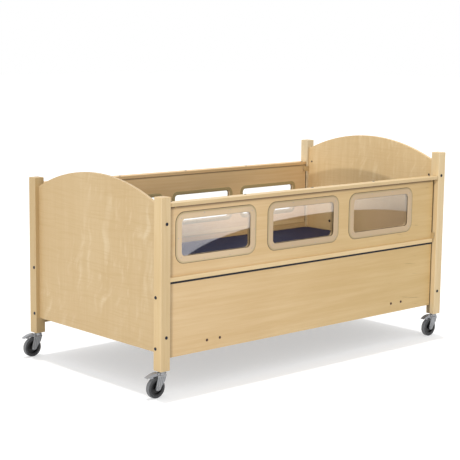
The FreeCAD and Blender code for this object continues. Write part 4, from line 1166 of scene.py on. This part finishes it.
def blown(piece):
    """The cover under pressure for some steps, each point kept near where it began."""
    before = [vertex.co.copy() for vertex in piece.data.vertices]
    cloth = piece.modifiers.new("cover", "CLOTH")
    cloth.settings.use_pressure = True
    cloth.settings.uniform_pressure_force = PRESSURE
    cloth.settings.tension_stiffness = TENSION
    cloth.settings.bending_stiffness = BENDING
    cloth.settings.effector_weights.gravity = 0
    scene = bpy.context.scene
    for step in range(1, CLOTH_STEPS + 1):
        scene.frame_set(step)
    mesh = applied(piece)
    scene.frame_set(1)
    for vertex, start in zip(mesh.vertices, before):
        moved = vertex.co - start
        if moved.length > MOST_SWELL:
            moved = moved * (MOST_SWELL / moved.length)
        vertex.co = start + moved


blown(mattress)

# %% Keep it in its space, and smooth it
FLAT_UNDER = 0.004
SMOOTH_ROUNDS = 2
SMOOTH_SHARE = 0.4


def settle(mesh):
    """Nothing leaves the mattress's own space, and the underside lies flat on the slats."""
    for vertex in mesh.vertices:
        for i in range(3):
            vertex.co[i] = min(max(vertex.co[i], MATTRESS_LOW[i]), MATTRESS_HIGH[i])
        if vertex.co.z < MATTRESS_LOW.z + FLAT_UNDER:
            vertex.co.z = MATTRESS_LOW.z


def softened(mesh):
    shape = bmesh.new()
    shape.from_mesh(mesh)
    for _ in range(SMOOTH_ROUNDS):
        bmesh.ops.smooth_vert(shape, verts=shape.verts, factor=SMOOTH_SHARE, use_axis_x=True,
                              use_axis_y=True, use_axis_z=True)
    bmesh.ops.recalc_face_normals(shape, faces=shape.faces)
    shape.to_mesh(mesh)
    shape.free()


softened(mattress.data)
settle(mattress.data)
finer = mattress.modifiers.new("finer", "SUBSURF")
finer.levels = finer.render_levels = 1
applied(mattress)
for polygon in mattress.data.polygons:
    polygon.use_smooth = True
print("mattress:", len(mattress.data.vertices), "points")

# %% A navy cover
NAVY = srgb(8, 17, 55)
NAVY_PALE = srgb(14, 23, 69)
THREADS_APART = 0.0011


def cover_finish():
    """A fine weave of two sets of threads, which also runs over the sides."""
    f = Finish("navy_cover")
    place = f.place()
    x, y, z = f.split(place)
    weave = f.wave(x + z, THREADS_APART) * f.wave(y + z, THREADS_APART)
    wide = f.noise(place, 7, 2)
    shade = f.mix(f.clamp(weave * 0.12 + (wide - 0.4) * 0.5), NAVY, NAVY_PALE)
    return f.surface(Base_Color=shade, Roughness=0.62 + (wide - 0.5) * 0.15, Specular_IOR_Level=0.2,
                     Sheen_Weight=0.02, Normal=f.bump(weave, 0.25, 0.0003))


navy = cover_finish()
mattress.data.materials.clear()
mattress.data.materials.append(navy)
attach(mattress, "bed_frame")
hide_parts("mattress")
print("the mattress is covered")

# %% Piping in both seams
PIPE = 0.0032
PIPE_PROUD = 0.1
SEAM_STEPS = 12
SEAMS = {"top": MATTRESS_HIGH.z - 0.026, "bottom": MATTRESS_LOW.z + 0.022}
PROBE = 0.3


def seam_points(level):
    """Points round the mattress at one level, on its cover, where the piping is sewn in."""
    tree = BVHTree.FromPolygons([v.co for v in mattress.data.vertices],
                                [p.vertices for p in mattress.data.polygons])
    half = (MATTRESS_HIGH - MATTRESS_LOW) / 2
    straight = [half.x - MATTRESS_CORNER, half.y - MATTRESS_CORNER]
    points = []
    for quarter, (sx, sy) in enumerate(((1, 1), (-1, 1), (-1, -1), (1, -1))):
        centre = Vector((MATTRESS_MIDDLE.x + sx * straight[0], MATTRESS_MIDDLE.y + sy * straight[1], level))
        for step in range(SEAM_STEPS + 1):
            turn = (quarter + step / SEAM_STEPS) * math.pi / 2
            way = Vector((math.cos(turn), math.sin(turn), 0))
            hit = tree.ray_cast(centre + way * PROBE, -way)[0]
            points.append(hit + way * PIPE * PIPE_PROUD if hit else centre + way * MATTRESS_CORNER)
    return points


def piping(name, level):
    line = bpy.data.curves.new(name, "CURVE")
    line.dimensions = "3D"
    line.bevel_depth = PIPE
    line.bevel_resolution = 3
    points = seam_points(level)
    run = line.splines.new("POLY")
    run.points.add(len(points) - 1)
    for point, place in zip(run.points, points):
        point.co = (*place, 1)
    run.use_cyclic_u = True
    piece = bpy.data.objects.new(name, line)
    bpy.context.scene.collection.objects.link(piece)
    line.materials.append(navy)
    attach(piece, "bed_frame")


for seam, level in SEAMS.items():
    piping(f"mattress_piping_{seam}", level)
print("piping in two seams")
